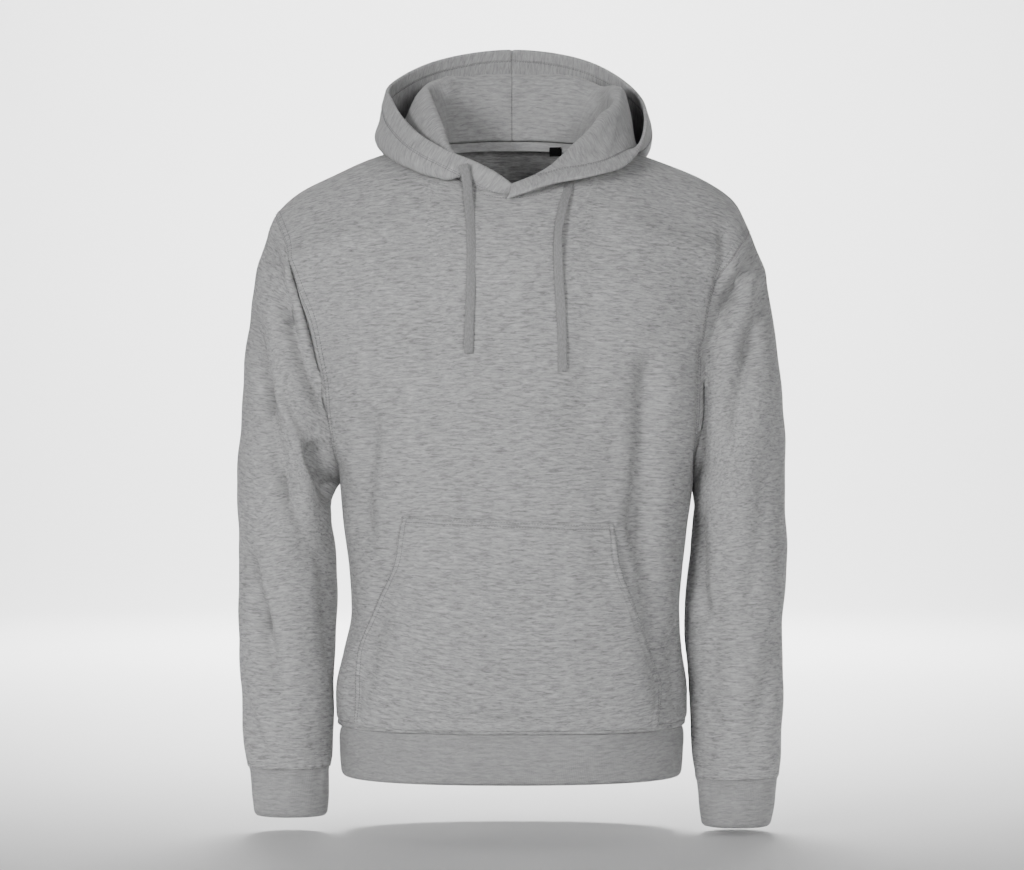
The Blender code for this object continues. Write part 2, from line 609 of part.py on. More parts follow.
def hood(panels, hand):
    """Middle surface of a hood half: each column runs neck, crest, valley, rim."""
    table = np.array(HOOD[hand])
    beyond = table[-2].copy()
    beyond[0] = 2 - beyond[0]
    beyond[[1, 4, 7]] *= -1
    table = np.vstack([table, beyond])
    along = np.linspace(0.0, 1.0, HOOD_COLUMNS)
    tracks = rounded(along, table[:, 0], table[:, 1:])
    crest, valley, rim = tracks[:, 0:3], tracks[:, 3:6], tracks[:, 6:9]
    fold = np.maximum(tracks[:, 9:10], 0.0)
    folded = np.clip(fold / FOLD_START, 0.0, 1.0)
    share, points, normals, rises = neck_line(panels, hand)
    neck, normal, rise = (
        np.stack([np.interp(along, share, what[:, i]) for i in range(3)], axis=1)
        for what in (points, normals, rises)
    )
    neck = neck + rise * NECK_GAP
    neck[:, 0] += hand * SEAM_GAP * (along == 0) + hand * SEAM_GAP * (along == 1)
    crest = neck + (rim - neck) / 3 + (crest - neck - (rim - neck) / 3) * folded
    valley = rim - (rim - neck) / 3 + (valley - rim + (rim - neck) / 3) * folded
    outward = unit((valley - crest) * (1.0, 1.0, 0.0))
    up = np.array([0.0, 0.0, 1.0])
    lift = smooth(along, HOOD_RISE["along"], HOOD_RISE["lift"])[:, None]
    lift = np.minimum(lift, 0.25 * np.linalg.norm(crest - neck, axis=1, keepdims=True))
    high = crest + up * fold * 0.9
    low = valley - up * fold * 0.3
    bulge = fold * np.clip((rim[:, 2:] - valley[:, 2:]) / BAG_RISE, 0.0, 1.0)
    controls = np.stack(
        [
            neck,
            neck + rise * lift,
            (neck + high) / 2,
            high - outward * fold,
            high + outward * fold,
            (high + low) / 2 + outward * bulge * 0.2,
            low - outward * bulge,
            low + outward * bulge * 1.3,
            (low + rim) / 2 + outward * bulge * 1.4,
            rim * 0.85 + low * 0.15 + outward * bulge * 0.4,
            rim,
        ],
        axis=1,
    )
    grid = bspline(controls, HOOD_ROWS)
    out = grid_normals(grid, False)
    if np.sum(out[1] * normal) < 0:
        out = -out
    out[0] = normal
    out[:, -1, 0] = 0.0
    out[:, 0, 0] *= 0.2
    return grid, unit(out)


def hood_thickness():
    """Cloth thickness up a hood column: plain cloth, then the casing at the rim."""
    share = np.linspace(0.0, 1.0, HOOD_ROWS)
    casing = np.clip((share - (1 - CASING_SHARE)) / 0.03, 0.0, 1.0)
    return HOOD_CLOTH + (CASING_CLOTH - HOOD_CLOTH) * casing


def build_tape(panels):
    """Tape over the back neck seam, inside, and the label's loop that hangs from it."""
    halves = []
    where = np.linspace(TAPE_START, 1.0, TAPE_COLUMNS)
    for hand in (LEFT, RIGHT):
        share, points, normals, _ = neck_line(panels, hand)
        halves.append([np.stack([np.interp(where, share, what[:, i]) for i in range(3)], axis=1)
                       for what in (points, normals)])
    line, normal = (np.concatenate([left, right[-2::-1]]) for left, right in zip(*halves))
    flat = unit(normal * (1.0, 1.0, 0.0))
    rows = [line - flat * TAPE_INSET - (0.0, 0.0, TAPE_TOP + down * TAPE_WIDTH) for down in (0.0, 0.5, 1.0)]
    grid = np.array(rows)
    add_wall("neck_tape", grid, np.broadcast_to(flat, grid.shape), TAPE_CLOTH)
    place = int(round((2 - LABEL_ALONG - TAPE_START) / (1 - TAPE_START) * (TAPE_COLUMNS - 1)))
    across = unit((line[place + 1] - line[place - 1]) * (1.0, 1.0, 0.0))
    face = unit(np.cross(across, (0.0, 0.0, 1.0)))
    face = face if face[1] < 0 else -face
    top = grid[1, place] + face * (TAPE_CLOTH + LAY_GAP)
    offsets = np.linspace(-LABEL_WIDTH / 2, LABEL_WIDTH / 2, 3)
    loop = np.array([[top + across * a - (0.0, 0.0, drop) for a in offsets]
                     for drop in np.linspace(0.0, LABEL_DROP, 3)])
    add_wall("size_label", loop, np.broadcast_to(face, loop.shape), TAPE_CLOTH, colour=BLACK)


# Pocket and drawcord ----------------------------------------------------------------------


def build_pocket(front):
    """Kangaroo pocket, made from the front's points and moved out."""
    top, bottom = POCKET["z"][0], POCKET["z"][-1]
    rows = []
    for z in np.linspace(top, bottom, POCKET_ROWS):
        row = []
        for x in np.linspace(-smooth(z, POCKET["z"], POCKET[LEFT]), smooth(z, POCKET["z"], POCKET[RIGHT]),
                             POCKET_COLUMNS):
            height = z - POCKET_TILT * (x + POCKET[LEFT][0]) / 0.235 * (z - bottom) / (top - bottom)
            depth = min(depth_at(front, x + reach * POCKET_NEAR, height) for reach in (-1, 0, 1))
            row.append((x, depth, height))
        rows.append(row)
    grid = np.array(rows)
    normal = grid_normals(grid, False)
    normal = normal if normal[..., 1].sum() < 0 else -normal
    add_wall("pocket", grid, normal, BODY_CLOTH, shift=BODY_CLOTH + POCKET_GAP)


def build_cord(name, hand, front, hood_grid):
    """Free end of the flat drawcord, in front of whatever is behind it."""
    table = np.array(CORD[hand])
    knots = np.concatenate([[0.0], np.cumsum(np.hypot(*np.diff(table[:, :2], axis=0).T))])
    where = np.linspace(0.0, knots[-1], CORD_ROWS)
    track = rounded(where, knots, table)
    cloud = hood_grid.reshape(-1, 3)
    centre = []
    for x, z, clear, turn in track:
        y = min(depth_at(front, x + reach * CORD_WIDTH / 2, z) for reach in (-1, 0, 1)) - BODY_CLOTH / 2
        near = np.max(np.abs(cloud[:, [0, 2]] - (x, z)), axis=1) < CORD_NEAR + CORD_WIDTH / 2
        if near.any():
            y = min(y, cloud[near, 1].min() - CASING_CLOTH / 2)
        centre.append((x, y - CORD_THICK / 2 - clear - CORD_WIDTH / 2 * abs(np.sin(np.radians(turn))), z))
    centre = np.array(centre)
    for _ in range(3):
        centre[1:-1, 1] = np.minimum(centre[1:-1, 1], (centre[:-2, 1] + centre[2:, 1]) / 2)
    run = unit(np.gradient(centre, axis=0))
    turn = np.radians(track[:, 3])
    across = np.stack([np.cos(turn), np.sin(turn), 0 * turn], axis=1)
    across = unit(across - run * np.sum(across * run, axis=1, keepdims=True))
    out = np.cross(run, across)
    angle = np.arange(8) / 8 * 2 * np.pi + np.pi / 8
    wide = CORD_WIDTH / 2 * np.sign(np.cos(angle)) * np.abs(np.cos(angle)) ** 0.5
    thick = CORD_THICK / 2 * np.sin(angle)
    rings = centre[:, None] + across[:, None] * wide[:, None] + out[:, None] * thick[:, None]
    faces = []
    for r in range(CORD_ROWS - 1):
        for c in range(8):
            d = (c + 1) % 8
            faces.append((r * 8 + c, r * 8 + d, r * 8 + 8 + d, r * 8 + 8 + c))
    faces.append(tuple(reversed(range(8))))
    faces.append(tuple((CORD_ROWS - 1) * 8 + c for c in range(8)))
    add_mesh(name, rings.reshape(-1, 3), faces, GREY)


def main():
    clear_scene()
    panels = {FRONT: panel(FRONT, "front_panel"), BACK: panel(BACK, "back_panel")}
    for word, hand in (("left", LEFT), ("right", RIGHT)):
        ring, edge_normal = armhole_ring(panels, hand)
        grid, normal = sleeve(hand, "sleeve_" + word, ring)
        normal[0] = unit(normal[0] + edge_normal)
        mitre(panels, hand, normal[0])
        add_wall("sleeve_" + word, grid, normal, BODY_CLOTH, closed=True)
        build_cuff("cuff_" + word, hand, grid[-1])
    open_seams(panels)
    add_wall("front_panel", *panels[FRONT], BODY_CLOTH)
    add_wall("back_panel", *panels[BACK], BODY_CLOTH)
    build_hem()
    front = facets(panels[FRONT][0])
    for word, hand in (("left", LEFT), ("right", RIGHT)):
        grid, normal = hood(panels, hand)
        add_wall("hood_" + word, grid, normal, hood_thickness())
        build_cord("drawcord_" + word, hand, front, grid)
    build_tape(panels)
    build_pocket(front)


main()
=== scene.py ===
"""Pullover hoodie: the cloth, bands, hood, pocket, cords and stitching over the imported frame.

Each cloth piece is a closed shell on a middle surface: a grid whose points are worked out from the
pattern's sizes. Left is -X and right is +X, seen from the front, which faces -Y. Metres, +Z up.
"""

import bpy
import numpy as np
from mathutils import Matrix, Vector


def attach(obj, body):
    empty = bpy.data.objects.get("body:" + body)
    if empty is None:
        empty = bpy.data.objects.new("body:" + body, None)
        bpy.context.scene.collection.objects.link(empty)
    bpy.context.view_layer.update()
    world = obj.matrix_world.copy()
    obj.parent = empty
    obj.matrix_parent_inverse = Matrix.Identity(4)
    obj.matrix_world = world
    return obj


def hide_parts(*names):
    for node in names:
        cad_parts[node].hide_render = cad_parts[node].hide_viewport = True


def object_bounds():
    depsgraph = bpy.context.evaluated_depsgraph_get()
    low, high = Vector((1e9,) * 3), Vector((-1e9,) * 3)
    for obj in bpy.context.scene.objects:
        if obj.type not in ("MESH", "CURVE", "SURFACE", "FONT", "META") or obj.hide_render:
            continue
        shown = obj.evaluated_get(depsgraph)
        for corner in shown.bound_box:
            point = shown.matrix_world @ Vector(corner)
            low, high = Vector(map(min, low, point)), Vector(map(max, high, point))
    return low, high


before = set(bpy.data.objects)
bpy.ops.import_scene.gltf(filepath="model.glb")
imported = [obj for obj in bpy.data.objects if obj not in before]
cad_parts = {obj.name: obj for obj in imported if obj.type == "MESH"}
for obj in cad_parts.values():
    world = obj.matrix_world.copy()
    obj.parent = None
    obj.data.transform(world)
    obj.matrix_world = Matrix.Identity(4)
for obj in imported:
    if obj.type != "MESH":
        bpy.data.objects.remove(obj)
CAD_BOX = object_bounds()

bl_info = {
    "name": "Pullover Hoodie",
    "version": (1, 0, 0),
    "blender": (4, 5, 0),
    "location": "3D View > Sidebar > Garment",
    "description": "Builds the cloth, cords and stitching of a pullover hoodie",
    "category": "Object",
}

FRONT = -1
BACK = 1
LEFT = -1
RIGHT = 1
HANDS = (LEFT, RIGHT)
HAND_NAMES = ((LEFT, "_left"), (RIGHT, "_right"))
UP = np.array([0.0, 0.0, 1.0])
LEVEL = np.array([1.0, 1.0, 0.0])

# Pattern ------------------------------------------------------------------------------------


def mm(*numbers):
    """Millimetres as metres; rows of them make a table."""
    return np.array(numbers, float) / 1000


SECTION_POWER = 0.85
DEPTH = {FRONT: 0.146, BACK: 0.122}
ROUNDING = {FRONT: 0.170, BACK: 0.120}
NECK_HALF = 0.108
NECK_Z = {FRONT: -0.049, BACK: 0.028}
NECK_POWER = 2.2
UNDERARM_Z = -0.372
HEM_SEAM_Z = -0.650
HEM_END_Z = -0.706
SEAM_STEP = 0.0014
# steps to the lines beside a seam's edge: as a share of the way and as a turn
SEAM_SHARE = 0.0035
SEAM_TURN = 0.006
# heights over the hem seam of the body's last rows, of the row of stitches and of the roll under it
HEM_ROWS = np.array([0.0090, 0.0077, 0.0065, 0.0053, 0.0040, 0.0026, SEAM_STEP, 0.0])
HEM_STITCH = 0.0065
HEM_PUFF = 0.0032
# distance from its edges over which a panel's swells fade out
EDGE_STILL = 0.03

# half width of the ridge of the shoulders, its height on each hand, and how far back it lies
SHOULDER = {
    "x": mm(0, 60, 108, 155, 196, 238, 256, 274),
    LEFT: mm(40, 33, 18, 3, -14, -35, -48, -66.5),
    RIGHT: mm(40, 33, 18, 3, -14, -35, -50, -85),
    "back": mm(22, 18, 12, 7, 3, 0, 0, 0),
}
# side edge of the body seen from the front: the armhole seam, then the side seam
SIDE = {
    LEFT: {
        "z": mm(
            -65, -91, -126, -154, -187, -228, -267, -299, -353, -372, -427, -474, -520, -566, -612, -635,
            -650,
        ),
        "x": mm(
            272, 260, 246, 238, 226, 217, 210, 208, 200, 198, 192, 186, 184, 193, 202, 201, 198,
        ),
    },
    RIGHT: {
        "z": mm(
            -85, -107, -132, -157, -187, -217, -256, -299, -340, -372, -427, -474, -515, -566, -612, -635,
            -650,
        ),
        "x": mm(
            274, 256, 240, 230, 222, 219, 217, 216, 211, 207, 200, 195, 191, 195, 201, 201, 197,
        ),
    },
}
REACH = {"down": (0.0, 0.3, 0.6, 0.85, 1.0), "degrees": (60.0, 62.0, 65.0, 73.0, 90.0)}
FULLNESS = {"z": (-0.72, -0.65, -0.60, -0.50, -0.30, 0.0), "share": (0.955, 0.985, 1.01, 0.985, 1.0, 1.0)}
# down each sleeve: outer x, outer z, inner x, inner z, half depth, middle y
SLEEVE = {
    LEFT: mm(
        (272, -65, 198, -372, 80, 0), (284, -96, 205, -384, 83, 0), (296, -135, 208.5, -396, 83, 0),
        (301.5, -180, 208.5, -410, 82, 1), (308, -235, 207, -427, 80, 2), (313, -295, 205, -450, 77, 3),
        (314.5, -360, 203, -478, 73, 3), (314, -430, 202.5, -515, 69, 2), (313, -500, 203, -555, 65, -1),
        (312.5, -565, 205, -600, 61, -6), (311, -625, 207, -645, 56, -12), (308, -672, 208, -680, 50, -18),
        (302, -697, 209.5, -697, 43, -21),
    ),
    RIGHT: mm(
        (274, -85, 207, -372, 80, 0), (286, -116, 211, -385, 83, 0), (295.5, -153, 211.5, -398, 83, 0),
        (302, -195, 209, -413, 82, 1), (307.5, -247, 207, -432, 80, 2), (311.5, -305, 205.5, -456, 77, 3),
        (314, -370, 204, -485, 73, 3), (315, -437, 202.5, -522, 69, 2), (313.8, -508, 202.5, -562, 65, -1),
        (312, -575, 205, -607, 61, -6), (310, -637, 206.5, -653, 56, -12),
        (308.5, -685, 209, -690, 50, -18), (305, -708, 211.5, -710, 43, -21),
    ),
}
ARMHOLE_FADE = 0.30
# how far the hem band is drawn in down its height, and its dips: x, half width, place down, depth
HEM_INSET = {"share": (0.0, 0.05, 0.10, 0.5, 0.92, 1.0), "inset": mm(2.8, 3.4, 2.4, 1.2, 3.0, 4.6)}
HEM_DIPS = (
    (-0.015, 0.040, 0.20, 0.0055), (0.030, 0.040, 0.30, 0.0020),
    (-0.140, 0.030, 0.20, 0.0055), (0.160, 0.030, 0.22, 0.0055),
)
# outer and inner edge of a cuff at its seam and at its end, and how much wider it is on the way
CUFF = {LEFT: mm(298.5, 213, 294, 213.5), RIGHT: mm(302, 213.5, 295, 219)}
CUFF_WIDER = {"share": (0.0, 0.05, 0.14, 0.55, 0.93, 1.0), "by": mm(2.2, 0.6, 0.2, 1.0, 0.0, -1.5)}
CUFF_HEIGHT = 0.055
CUFF_DEPTH = 0.036

# along a hood half, from its front end: the place in thousandths, then x, y and z of the crest it
# folds over, of the valley behind the crest and of the rim, then the fold's half width
HOOD = {
    LEFT: mm(
        (0, 0, -120.5, -47.5, 1.1, -120.5, -45.2, 3.3, -121, -42.5, 0),
        (70, -17.9, -119, -41.8, -16.7, -120, -36.3, -15.6, -118.5, -28.3, 0),
        (140, -40.3, -114, -32.4, -42.5, -116.5, -37.1, -38, -113, -15.6, 1),
        (260, -66.3, -95, -3.9, -79.5, -108.5, -28.6, -76.3, -103, 1.6, 4.5),
        (420, -81.8, -60, 32.2, -119.8, -78, -12.5, -114.3, -72, 28.7, 6),
        (560, -95.7, -8, 68.4, -145.1, -10, 9.5, -138.1, -14, 64.3, 7),
        (700, -95.9, 44, 85.7, -138.7, 64, 4.5, -141.8, 52, 91.3, 9),
        (850, -57.8, 74, 93.8, -92.4, 142, -70.3, -87.9, 102, 125.4, 13),
        (1000, -0.4, 82, 95.8, -0.4, 158, -98.2, -0.4, 118, 139.8, 15),
    ),
    RIGHT: mm(
        (0, 2.2, -122.5, -40.9, -1.1, -130, -48.2, -3.3, -130, -52.7, 3.6),
        (70, 20.1, -118, -33.9, 18.9, -130, -41.5, 16.7, -131, -46.1, 4),
        (140, 41.5, -108, -21.9, 45.7, -127, -30.1, 41.2, -130, -37.6, 4.5),
        (260, 73.3, -86, 7.1, 89.7, -107, -13.9, 87.1, -121, -27.4, 6),
        (420, 103.7, -48, 41.3, 124.6, -69, 5.2, 131.9, -85, -8.6, 7.5),
        (560, 120, -4, 67.7, 146.2, -12, 9.3, 152.6, -24, 32.3, 6.5),
        (700, 117, 46, 84.8, 148.1, 64, 4.5, 147.6, 50, 79.4, 9),
        (850, 63.7, 74, 93.8, 93.6, 142, -70.3, 90.3, 102, 124.2, 13),
        (1000, 0.4, 82, 95.8, 0.4, 158, -98.2, 0.4, 118, 139.8, 15),
    ),
}
NECK_SIDE = 0.58
HOOD_RISE = {"along": (0.0, 0.5, 0.8, 1.0), "lift": (0.008, 0.008, 0.004, 0.003)}
FOLD_START = 0.004
BAG_RISE = 0.030
# creases of the hood: place along and up a half, half widths there, and depth
HOOD_CREASES = {
    LEFT: (
        (0.78, 0.17, 0.05, 0.05, -0.0044), (0.88, 0.26, 0.07, 0.03, 0.004),
        (0.66, 0.22, 0.035, 0.09, 0.0044), (0.55, 0.8, 0.06, 0.05, 0.004),
        (0.93, 0.86, 0.02, 0.05, -0.0032), (0.45, 0.6, 0.04, 0.07, -0.0036),
    ),
    RIGHT: (
        (0.8, 0.15, 0.06, 0.04, -0.0044), (0.73, 0.25, 0.05, 0.05, 0.0052),
        (0.62, 0.3, 0.03, 0.1, -0.0044), (0.5, 0.34, 0.05, 0.06, 0.004),
        (0.94, 0.87, 0.02, 0.05, 0.0036), (0.6, 0.78, 0.05, 0.06, -0.0032),
    ),
}
CASING_WIDTH = 0.021
# rows over the casing, by their distance from the rim in casing widths
CASING_ROWS = np.array([0.0, 0.04, 0.12, 0.25, 0.40, 0.55, 0.70, 0.80, 0.87, 0.92, 0.97, 1.02, 1.07, 1.14])
CASING_SHOWN = {"along": (0.0, 0.45, 0.75, 1.0), "share": (1.0, 1.0, 0.72, 0.60)}

TAPE_WIDTH = 0.010
TAPE_TOP = 0.0015
TAPE_INSET = 0.0035
TAPE_START = 0.68
TAPE_COLUMNS = 59
LABEL_WIDTH = 0.013
LABEL_DROP = 0.010
LABEL_FOLD = 0.0009
LABEL_THICK = 0.0006
LABEL_ALONG = 0.825

# half width of the pocket on each hand down its height
POCKET = {
    "z": mm(-408, -440, -470, -497, -513, -570, -600, -646),
    LEFT: mm(122, 125.5, 132, 145.5, 152, 174, 176, 176),
    RIGHT: mm(113, 116, 122.5, 132, 137, 158, 167.5, 162),
}
POCKET_TOP = 0.235
POCKET_TILT = 0.009
POCKET_GROOVE = 0.0013
# shares down and across of the lines near the pocket's edges
POCKET_DOWN = np.array([0, 0.0045, 0.010, 0.020, 0.025, 0.030, 0.036])
POCKET_NEAR = np.array([0, 0.004, 0.010, 0.018, 0.023, 0.028, 0.034])

CORD_RINGS = 150
CORD_SIDES = 20
# middle line of each drawcord's free end: x, y, z and the turn of its flat side in degrees
CORD = {
    LEFT: (
        (-0.0540, -0.1206, -0.0150, 6), (-0.0507, -0.1195, -0.0317, 6), (-0.0489, -0.1223, -0.0487, 5),
        (-0.0473, -0.1287, -0.0656, 6), (-0.0461, -0.1360, -0.0826, 7), (-0.0451, -0.1455, -0.1167, 8),
        (-0.0454, -0.1478, -0.1508, 7), (-0.0469, -0.1479, -0.1848, 6), (-0.0478, -0.1477, -0.2189, 6),
        (-0.0479, -0.1477, -0.2274, 6),
    ),
    RIGHT: (
        (0.0648, -0.1066, -0.0335, -10), (0.0618, -0.1153, -0.0450, -11), (0.0573, -0.1255, -0.0607, -13),
        (0.0539, -0.1341, -0.0766, -18), (0.0512, -0.1414, -0.0927, -30), (0.0505, -0.1453, -0.1090, -22),
        (0.0511, -0.1470, -0.1253, -8), (0.0528, -0.1481, -0.1579, -3), (0.0547, -0.1475, -0.1905, -1),
        (0.0558, -0.1472, -0.2230, 0), (0.0557, -0.1472, -0.2475, 0),
    ),
}

# folds pressed into the cloth, seen from the front or the back: x and z of a line's start and end,
# the depth of the trough (below zero for a ridge) and its half width
FOLDS = {
    "front_panel": {
        FRONT: mm(
            (153, -255, 146, -415, 14.9, 15), (146, -415, 171, -609, 11.2, 15),
            (-160, -312, -171, -415, 12.1, 14), (-144, -495, -173, -609, 10.8, 15),
            (187, -552, 192, -620, 8.1, 9), (240, -95, 223, -221, 7.4, 7), (215, -221, 211, -358, 5.4, 6),
            (-242, -120, -217, -278, -4.7, 8), (-105, -49, -48, -56, 2.1, 9), (105, -45, 55, -56, 2.1, 9),
            (112, -330, 98, -470, 3.6, 16), (-120, -400, -125, -520, 3.6, 16),
            (-200, -360, -160, -430, 4.1, 10), (-238, -115, -150, -85, -4.8, 16),
            (238, -120, 150, -90, -4.8, 16), (-100, -90, -68, -300, 4.1, 20),
            (100, -100, 78, -300, 4.3, 20), (20, -75, 10, -150, -2.2, 18), (-140, -630, -60, -636, 2.5, 8),
            (-40, -632, 40, -638, 2.9, 7), (-127, -412, 117, -422, 1.2, 5), (118, -425, 142, -521, 2.2, 6),
            (-128, -420, -158, -510, 2.2, 6), (75, -628, 150, -634, 2.5, 8),
        ),
    },
    "back_panel": {
        BACK: mm(
            (140, -260, 132, -560, 10.8, 25), (-145, -280, -152, -590, 10.8, 25),
            (20, -460, 32, -640, 8.1, 24), (-205, -270, -120, -360, 6.1, 13),
            (205, -260, 130, -370, 6.5, 14), (-200, -340, -130, -440, 4.5, 12),
            (-190, -450, -100, -500, 3.6, 13), (185, -470, 90, -520, 3.9, 13),
            (-75, -120, -45, -340, 3.6, 19), (80, -140, 60, -370, 3.4, 19),
            (-205, -120, -215, -250, 5.4, 10), (205, -120, 214, -260, 5.4, 10),
            (-150, -628, -50, -636, 2, 8), (60, -630, 150, -637, 2, 8),
        ),
    },
    "sleeve_left": {
        FRONT: mm(
            (-274, -112, -251, -186, 11.6, 10), (-251, -186, -219, -272, 11.6, 11),
            (-244, -132, -212, -234, 15.5, 8), (-297, -192, -281, -278, 14.2, 10),
            (-281, -278, -253, -380, 12.9, 13), (-253, -380, -235, -437, 5.2, 11),
            (-265, -272, -208, -406, -6.5, 6), (-223, -344, -207, -388, 22, 11),
            (-233, -323, -203, -319, -3.3, 5), (-298, -466, -285, -529, 14.2, 10),
            (-285, -529, -267, -584, 11.6, 11), (-307, -620, -285, -671, 6.5, 8),
            (-217, -460, -203, -597, 5.2, 9),
        ),
        BACK: mm(
            (-275, -130, -235, -260, 12.5, 13), (-215, -420, -250, -500, 12.5, 13),
            (-296, -240, -258, -400, 9.4, 11), (-302, -500, -262, -610, 7.8, 11),
            (-222, -560, -252, -640, 6.1, 10), (-292, -640, -250, -690, 4.7, 8),
        ),
    },
    "sleeve_right": {
        FRONT: mm(
            (268, -128, 247, -159, 14.2, 9), (247, -159, 227, -198, 12.9, 10),
            (218, -223, 213, -358, 7.5, 8), (290, -154, 272, -215, 10.3, 11),
            (272, -215, 253, -301, 9.1, 13), (211, -415, 218, -517, 9.1, 9),
            (294, -369, 269, -506, 5.2, 14), (258, -175, 235, -278, -3.9, 9),
            (300, -552, 274, -666, 4.5, 11), (237, -460, 228, -620, 3.9, 11),
        ),
        BACK: mm(
            (278, -150, 236, -280, 12.5, 13), (220, -430, 255, -510, 12.5, 13),
            (292, -270, 258, -420, 9.4, 11), (300, -540, 262, -640, 7.8, 11),
            (222, -580, 250, -660, 6.1, 10),
        ),
    },
}

# slow unevenness of hanging cloth: waves per metre along x, y, z, start, height in metres
SWELLS = (
    (6.0, 3.0, 2.0, 0.4, 0.00090),
    (-4.0, 5.0, 6.0, 1.9, 0.00080),
    (13.0, 6.0, -8.0, 3.1, 0.00045),
    (9.0, -14.0, 17.0, 5.0, 0.00030),
)

# how many grid lines the cloth's places are eased over: across, down, and down a plumb piece
ACROSS_EASE = 6.0
DOWN_EASE = 9.0
PLUMB_EASE = 24.0

# Numbers ------------------------------------------------------------------------------------


def unit(vectors):
    """Vectors at length 1."""
    return vectors / np.maximum(np.linalg.norm(vectors, axis=-1, keepdims=True), 1e-12)


def bell(value, middle, half):
    """1 at the middle and 1/e at half to each side of it."""
    return np.exp(-(((value - middle) / half) ** 2))


def ramp(value, width):
    """0 where the value is 0, rising evenly to 1 at the width."""
    return np.clip(value / width, 0.0, 1.0)


def between(where, knots, rows):
    """Rows of three numbers at places between the knots."""
    return np.stack([np.interp(where, knots, rows[:, i]) for i in range(3)], axis=-1)


def wrapped(grid):
    """A closed grid with its first column again at the end."""
    return np.concatenate([grid, grid[:, :1]], axis=1)


def hermite(where, knots, values, slopes):
    """Cubic pieces between knots, from values and slopes there."""
    span = np.clip(np.searchsorted(knots, where, side="right") - 1, 0, len(knots) - 2)
    step = knots[span + 1] - knots[span]
    shape = (-1,) + (1,) * (values.ndim - 1)
    t = ((where - knots[span]) / step).reshape(shape)
    rise = values[span] * (1 + 2 * t) * (1 - t) ** 2 + values[span + 1] * t * t * (3 - 2 * t)
    lean = slopes[span] * t * (1 - t) ** 2 - slopes[span + 1] * t * t * (1 - t)
    return rise + lean * step.reshape(shape)


def smooth(where, knots, values):
    """A smooth curve through the values at the knots that never overshoots them."""
    order = np.argsort(knots)
    knots, values = np.asarray(knots, float)[order], np.asarray(values, float)[order]
    slope = np.diff(values) / np.diff(knots)
    product = slope[:-1] * slope[1:]
    total = np.where(product > 0, slope[:-1] + slope[1:], 1.0)
    inner = np.where(product > 0, 2.0 * product / total, 0.0)
    slopes = np.concatenate([slope[:1], inner, slope[-1:]])
    where = np.asarray(where, float)
    inside = np.clip(where.ravel(), knots[0], knots[-1])
    return hermite(inside, knots, values, slopes).reshape(where.shape)


def rounded(where, knots, rows):
    """A round curve through rows of numbers, for routes that turn back."""
    return hermite(where, knots, rows, np.gradient(rows, knots, axis=0))


def bspline(controls, where):
    """Rows of a clamped cubic B-spline at the shares in where; controls is columns x controls x 3."""
    knots = np.concatenate([[0.0] * 3, np.linspace(0.0, 1.0, controls.shape[1] - 2), [1.0] * 3])
    where = np.clip(where, 0.0, 1.0 - 1e-9)
    basis = [((knots[i] <= where) & (where < knots[i + 1])) * 1.0 for i in range(len(knots) - 1)]
    for degree in (1, 2, 3):
        raised = []
        for i in range(len(knots) - 1 - degree):
            low = knots[i + degree] - knots[i]
            high = knots[i + degree + 1] - knots[i + 1]
            rising = (where - knots[i]) / low * basis[i] if low > 0 else 0.0
            falling = (knots[i + degree + 1] - where) / high * basis[i + 1] if high > 0 else 0.0
            raised.append(rising + falling)
        basis = raised
    return np.einsum("kr,ckd->rcd", np.array(basis), controls)


def grid_normals(grid, closed):
    """Unit normals of a grid of points, down the rows turned to across the columns."""
    down = np.gradient(grid, axis=0)
    if closed:
        across = np.roll(grid, -1, axis=1) - np.roll(grid, 1, axis=1)
    else:
        across = np.gradient(grid, axis=1)
    return unit(np.cross(down, across))


def outward_normals(grid):
    """Normals of a closed tube, away from its middle."""
    normal = grid_normals(grid, True)
    away = grid - grid.mean(axis=1, keepdims=True)
    return normal if np.sum(normal * away) > 0 else -normal


def edged(values, step):
    """Shares with one more close to each end, so that a seam's edge can round off."""
    return np.concatenate([values[:1], [values[0] + step], values[1:-1], [values[-1] - step], values[-1:]])


def run_lengths(grid, axis):
    """Length along the grid's lines up to each point, the grid's cloth measure."""
    steps = np.linalg.norm(np.diff(grid, axis=axis), axis=2)
    return np.insert(np.cumsum(steps, axis=axis), 0, 0.0, axis=axis)


def eased(values, spread):
    """Values along the first axis, each the bell-weighted mean of those near it."""
    place = np.arange(len(values))
    weight = bell(place[:, None], place, spread)
    return weight / weight.sum(axis=1, keepdims=True) @ values


def cloth_uv(grid, level=0, plumb=False):
    """Places on the cloth in metres: across from the middle column, and down from the level row.

    Both are eased over their neighbours, so that the knit's rows run on evenly over the folds.
    On a plumb piece they stay level, and only the cloth's extra length over its height is eased.
    """
    across = run_lengths(grid, 1)
    across = across - across[:, across.shape[1] // 2][:, None]
    down = run_lengths(grid, 0)
    down = down - down[level]
    mean = across.mean(axis=0)
    drop = (grid[level, :, 2].mean() - grid[..., 2]) * plumb
    down = drop + eased((down - drop).T, PLUMB_EASE if plumb else DOWN_EASE).T
    return np.stack([mean + eased(across - mean, ACROSS_EASE), down], axis=2)


def opened(grid, normal, place):
    """A tube's rings turned to start at the column nearest a place, where its cloth's edges meet."""
    column = np.argmin(np.linalg.norm(grid[len(grid) // 2] - place, axis=1))
    return np.roll(grid, -column, axis=1), np.roll(normal, -column, axis=1)


